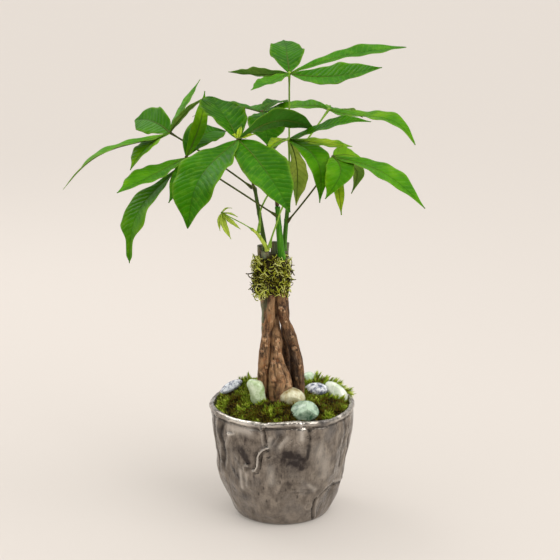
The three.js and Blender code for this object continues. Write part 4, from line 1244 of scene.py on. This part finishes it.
def leaf_finish(name, greens, vein, rib, roughness, glow):
    """The skin of a blade: greens that drift, patches painted lighter and darker as the light and shade of
    crinkles, veins, quilting, and light coming through it.

    glow is the share of light that comes through the blade.
    """
    skin, tree, shader, where = finish(name)
    x, s, tone = add(tree, "ShaderNodeSeparateXYZ", {0: read_mark(tree, "blade", "Vector")}).outputs
    pattern = use(tree, blade_pattern, {"X": x, "S": s, "Spacing": VEIN_SPACING, "Vector": where})
    varied = drifted(tree, tone, clouds(tree, where, 0.05, 4.0), 0.6)
    base = colour_ramp(tree, varied, [(i / (len(greens) - 1), code) for i, code in enumerate(greens)])
    # Painted light and shade: patches of the blade are laid lighter and darker, for the highlights and
    # shade of its crinkles
    crinkle_light_and_shade = clouds(tree, where, 0.13, 4.0, 0.6)
    base = overlay(tree, base, past(tree, crinkle_light_and_shade, 0.53, 7.0), 0.3, vein)
    base = overlay(tree, base, past(tree, 0.46, crinkle_light_and_shade, 7.0), 0.3, rib)
    base = overlay(tree, base, pattern["Veins"], 0.35, vein)
    base = overlay(tree, base, pattern["Midrib"], 0.7, rib)
    base = overlay(tree, base, read_mark(tree, "rim"), 0.4, "#9dc636")
    feed(tree, shader, {"Base Color": base, "Roughness": roughness, "Specular IOR Level": 0.2, "IOR": 1.25})
    raise_surface(tree, shader, pattern["Quilt"], 0.6, 0.0009)
    lit = {"Color": blend_colours(tree, 0.5, base, colour("#86ac20"))}
    lit = add(tree, "ShaderNodeBsdfTranslucent", lit).outputs[0]
    both = add(tree, "ShaderNodeMixShader", {0: glow, 1: shader.outputs[0], 2: lit})
    tree.links.new(both.outputs[0], tree.nodes["Material Output"].inputs["Surface"])
    return skin


upper_greens = ["#4c6206", "#265802", "#2f6c02", "#3b8002", "#509204", "#7cb010", "#c0d634"]
under_greens = ["#74862a", "#3e7a1c", "#4a862a", "#609436", "#7ba440", "#98b845", "#cadc60"]
grown_skins = (
    leaf_finish("leaf_upper", upper_greens, "#6fa420", "#2f5a08", 0.34, 0.22),
    leaf_finish("leaf_under", under_greens, "#55782a", "#4c6826", 0.5, 0.3),
)
young_skins = (
    leaf_finish("young_upper", ["#a9c61e", "#bdd636", "#dcec66"], "#c4dc50", "#93b02a", 0.4, 0.3),
    leaf_finish("young_under", ["#b4cc3c", "#c6dc50", "#e2f07c"], "#c8de5c", "#a0ba3c", 0.5, 0.35),
)
stalk_skins = {
    "dark": stem_finish("stalk_dark", "#332f16", "#5d6a2c"),
    "purple": stem_finish("stalk_purple", "#3f2a1e", "#6d6038"),
    "light": stem_finish("stalk_light", "#5c8a22", "#a4c651"),
}


def blade_outline(t, belly, fullness, tail):
    """Half width from 0 to 1 along a blade. A tail is how wide its narrow end is, or 0 for a point."""
    body = np.clip(np.sin(np.pi * t ** (math.log(0.5) / math.log(belly))), 0, 1) ** fullness
    body = body * (1 - 0.42 * smooth(0.74, 0.98, t))
    if tail:
        narrow = smooth(0.74, 0.88, t)
        body = body * (1 - narrow) + tail * narrow * (1 - smooth(0.95, 1, t))
    return body


def grow_leaflet(name, hub, shape, phase, tone, skins, small):
    """One leaflet and its rib: a flat grid laid along an arched midrib, folded, waved and thickened."""
    bearing, rise, length, width, arch, crest, roll, *rest = shape
    belly, twist, sweep, fullness, tail = rest + PLAIN_BLADE[len(rest) :]
    thickness, least_half, rib_radius = YOUNG_SIZES if small else GROWN_SIZES
    rows, columns = YOUNG_GRID if small else (max(LEAST_ROWS, int(length / ROW_LENGTH)), GROWN_COLUMNS)
    bpy.ops.object.select_all(action="DESELECT")
    bpy.ops.mesh.primitive_grid_add(x_subdivisions=columns, y_subdivisions=rows, size=2)
    leaflet = bpy.context.object
    leaflet.name = name
    raw = points_of(leaflet)
    u, t = -raw[:, 0], (raw[:, 1] + 1) / 2
    b, r = math.radians(bearing), math.radians(rise)
    ahead = np.array([math.cos(b) * math.cos(r), math.sin(b) * math.cos(r), math.sin(r)])
    up = np.array([0, 0, 1]) - ahead * ahead[2]
    up /= np.linalg.norm(up)
    side = np.cross(up, ahead)
    early = math.log(0.5) / math.log(crest)

    def midrib(share):
        share = np.clip(share, 0, 1)
        bow = np.outer(arch * np.sin(np.pi * share**early), up)
        bow = bow + np.outer(sweep * np.sin(np.pi * share), side)
        return hub + np.outer(share * length, ahead) + bow

    tangent = midrib(t + 0.01) - midrib(t - 0.01)
    tangent /= np.linalg.norm(tangent, axis=1)[:, None]
    turn_by = np.radians(roll + twist * smooth(0.45, 0.95, t))[:, None]
    c, s = np.cos(turn_by), np.sin(turn_by)
    across = side * c + np.cross(tangent, side) * s + tangent * (tangent @ side)[:, None] * (1 - c)
    normal = np.cross(tangent, across)
    edge_wave = 1 + (0.09 if tail else 0.03) * np.sin(19 * t + 2.1 * phase + 0.9 * u)
    half = width / 2 * edge_wave * blade_outline(t, belly, fullness, tail)
    half = np.maximum(least_half, half)
    bent = np.sqrt(u**2 + 0.012) - 0.11
    lift = bent * half * math.sin(BLADE_FOLD) + 0.06 * half * np.sin(13 * t + phase) * u
    ripple = 0.045 * half * np.sin(31 * t + 2.3 * phase) * np.abs(u) ** 3 - 0.05 * half * u**4
    sway = 0.035 * half * np.sin(7 * t + phase) * (1 - u**2)
    out = (u * half * math.cos(BLADE_FOLD) + sway)[:, None]
    move_points(leaflet, midrib(t) + across * out + normal * (lift + ripple)[:, None])
    # The material reads mm across the blade, mm along it, and its tone
    layer = leaflet.data.attributes.new("blade", "FLOAT_VECTOR", "POINT")
    blade = np.column_stack([u * half, t * length + 7 * phase, np.full(len(t), tone)])
    layer.data.foreach_set("vector", blade.ravel())
    mark_points(leaflet, "rim", smooth(0.86, 1.0, np.abs(u)))
    for skin in skins:
        leaflet.data.materials.append(skin)
    thick = leaflet.modifiers.new("thickness", "SOLIDIFY")
    thick.thickness = thickness * MM
    thick.offset = -1
    thick.material_offset = 1
    thick.material_offset_rim = 1
    bpy.ops.object.modifier_apply(modifier=thick.name)

    # The rib runs just under the blade, from the hub nearly to the tip
    below = 0.35 * np.cross(tangent[np.argmin(np.abs(t - 0.4))], side)
    rib_path = midrib(np.linspace(0, 0.97, 9)) - below

    def rib_girth(share, middles, outward, angle):
        return rib_radius * (1 - 0.82 * share**0.7)

    rib = grow_limb(f"{name}_rib", rib_path, RIB_COLUMNS, RIB_RINGS, rib_girth)
    return leaflet, rib


for name, (stalk_path, stalk_kind, leaflets, tones) in LEAVES.items():
    hub = np.array(stalk_path[-1], dtype=float)
    small = name == "leaf_young"
    size = YOUNG_SCALE if small else 1.0

    def stalk_girth(t, middles, outward, angle):
        return size * (0.86 + 1.1 * (1 - smooth(0, 0.1, t)) + 0.5 * smooth(0.9, 1, t))

    stalk = grow_limb(f"{name}_stalk", stalk_path, STALK_COLUMNS, STALK_RINGS, stalk_girth)
    parts = [stalk]
    skins = young_skins if small else grown_skins
    bpy.ops.object.select_all(action="DESELECT")
    bpy.ops.mesh.primitive_ico_sphere_add(subdivisions=3, radius=1)
    knob = bpy.context.object
    p = points_of(knob)
    move_points(knob, p * KNOB_RADIUS * size * (1 + 0.12 * lumps(p, 0.6, 2.0))[:, None] + hub)
    smooth_faces(knob)
    parts.append(knob)
    sprouts = [
        (f"{name}_{i}", shape, i * 1.9, tone, small) for i, (shape, tone) in enumerate(zip(leaflets, tones))
    ]
    for i, shape in enumerate(BUDS.get(name, [])):
        sprouts.append((f"{name}_bud_{i}", shape, i * 1.3, BUD_TONE, True))
    blades = []
    for sprout, shape, phase, tone, tiny in sprouts:
        blade, rib = grow_leaflet(sprout, hub, shape, phase, tone, skins, tiny)
        smooth_faces(blade)
        blades.append(blade)
        parts.append(rib)
    # Ribs wear the blade's under skin, and stalk and knob a skin of their own
    for part in parts:
        part.data.materials.clear()
        for skin in (*skins, stalk_skins[stalk_kind]):
            part.data.materials.append(skin)
        worn_skin = 1 if part.name.endswith("_rib") else 2
        for face in part.data.polygons:
            face.material_index = worn_skin
    bpy.ops.object.select_all(action="DESELECT")
    for part in blades + parts:
        part.select_set(True)
    bpy.context.view_layer.objects.active = blades[0]
    bpy.ops.object.join()
    leaf = bpy.context.object
    leaf.name = f"{name}_blades"
    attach(leaf, "root")
    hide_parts(name)


# The floor and the light
# A plain pale floor under soft light: a wide soft sun from the right front, weak lamps at the back
# left and the right front, and a room with bright panels for the glaze to mirror.
bpy.ops.object.select_all(action="DESELECT")
bpy.ops.mesh.primitive_plane_add(size=60, location=(0, 0, 0))
floor = bpy.context.object
floor.name = "floor"
pale, tree, shader, where = finish("pale_floor")
feed(tree, shader, {"Base Color": colour("#b1aba6"), "Roughness": 0.9, "Specular IOR Level": 0.1})
# It gives off a little light of its own, so that the shadow stays faint
feed(tree, shader, {"Emission Color": colour("#f6eee3"), "Emission Strength": 0.22})
floor.data.materials.append(pale)


def lamp(name, place, power, size, tint):
    bpy.ops.object.light_add(type="AREA", location=place)
    light = bpy.context.object
    light.name = name
    light.data.energy = power
    light.data.size = size
    light.data.color = tint
    aim = Vector((0, 0, 0.25)) - Vector(place)
    light.rotation_euler = aim.to_track_quat("-Z", "Y").to_euler()


bpy.ops.object.light_add(type="SUN", location=(1.2, -1.2, 2.4))
sun = bpy.context.object
sun.name = "soft_key"
sun.data.energy = 0.8
sun.data.angle = math.radians(60)
sun.data.color = (1.0, 0.985, 0.96)
sun.rotation_euler = (Vector((0, 0, 0)) - sun.location).to_track_quat("-Z", "Y").to_euler()
lamp("rim", (-0.9, 0.9, 1.3), 5, 0.7, (1.0, 0.99, 0.97))
lamp("window", (0.8, -1.0, 0.9), 4, 0.5, (1.0, 0.99, 0.97))

# The room: dim at eye level, with bright panels overhead, at the right front and at the left
world = bpy.data.worlds.new("studio_room")
bpy.context.scene.world = world
world.use_nodes = True
room = world.node_tree
direction = add(room, "ShaderNodeTexCoord", {}).outputs["Generated"]
to_right, to_back, upward = add(room, "ShaderNodeSeparateXYZ", {0: direction}).outputs


def room_edge(value, start, end):
    limits = {"Value": value, "From Min": start, "From Max": end}
    return add(room, "ShaderNodeMapRange", limits, interpolation_type="SMOOTHSTEP").outputs[0]


overhead = room_edge(upward, 0.6, 0.8)
right_panel = calc(room, "MULTIPLY", room_edge(to_right, 0.5, 0.6), room_edge(upward, 0.1, 0.2))
right_panel = calc(room, "MULTIPLY", right_panel, room_edge(to_back, 0.1, -0.1))
left_panel = calc(room, "MULTIPLY", room_edge(to_right, -0.62, -0.72), room_edge(upward, 0.05, 0.15))
backdrop = calc(room, "MULTIPLY", room_edge(to_back, 0.1, 0.5), 0.35)
panels = calc(room, "ADD", calc(room, "MULTIPLY", overhead, 1.1), calc(room, "MULTIPLY", right_panel, 1.3))
panels = calc(room, "ADD", panels, calc(room, "MULTIPLY", left_panel, 0.6))
brightness = calc(room, "ADD", calc(room, "ADD", panels, backdrop), 0.22)
strength = calc(room, "MULTIPLY", brightness, 1.08)
feed(room, room.nodes["Background"], {"Color": (1.0, 0.975, 0.945, 1), "Strength": strength})
bpy.context.scene.view_settings.view_transform = "Standard"
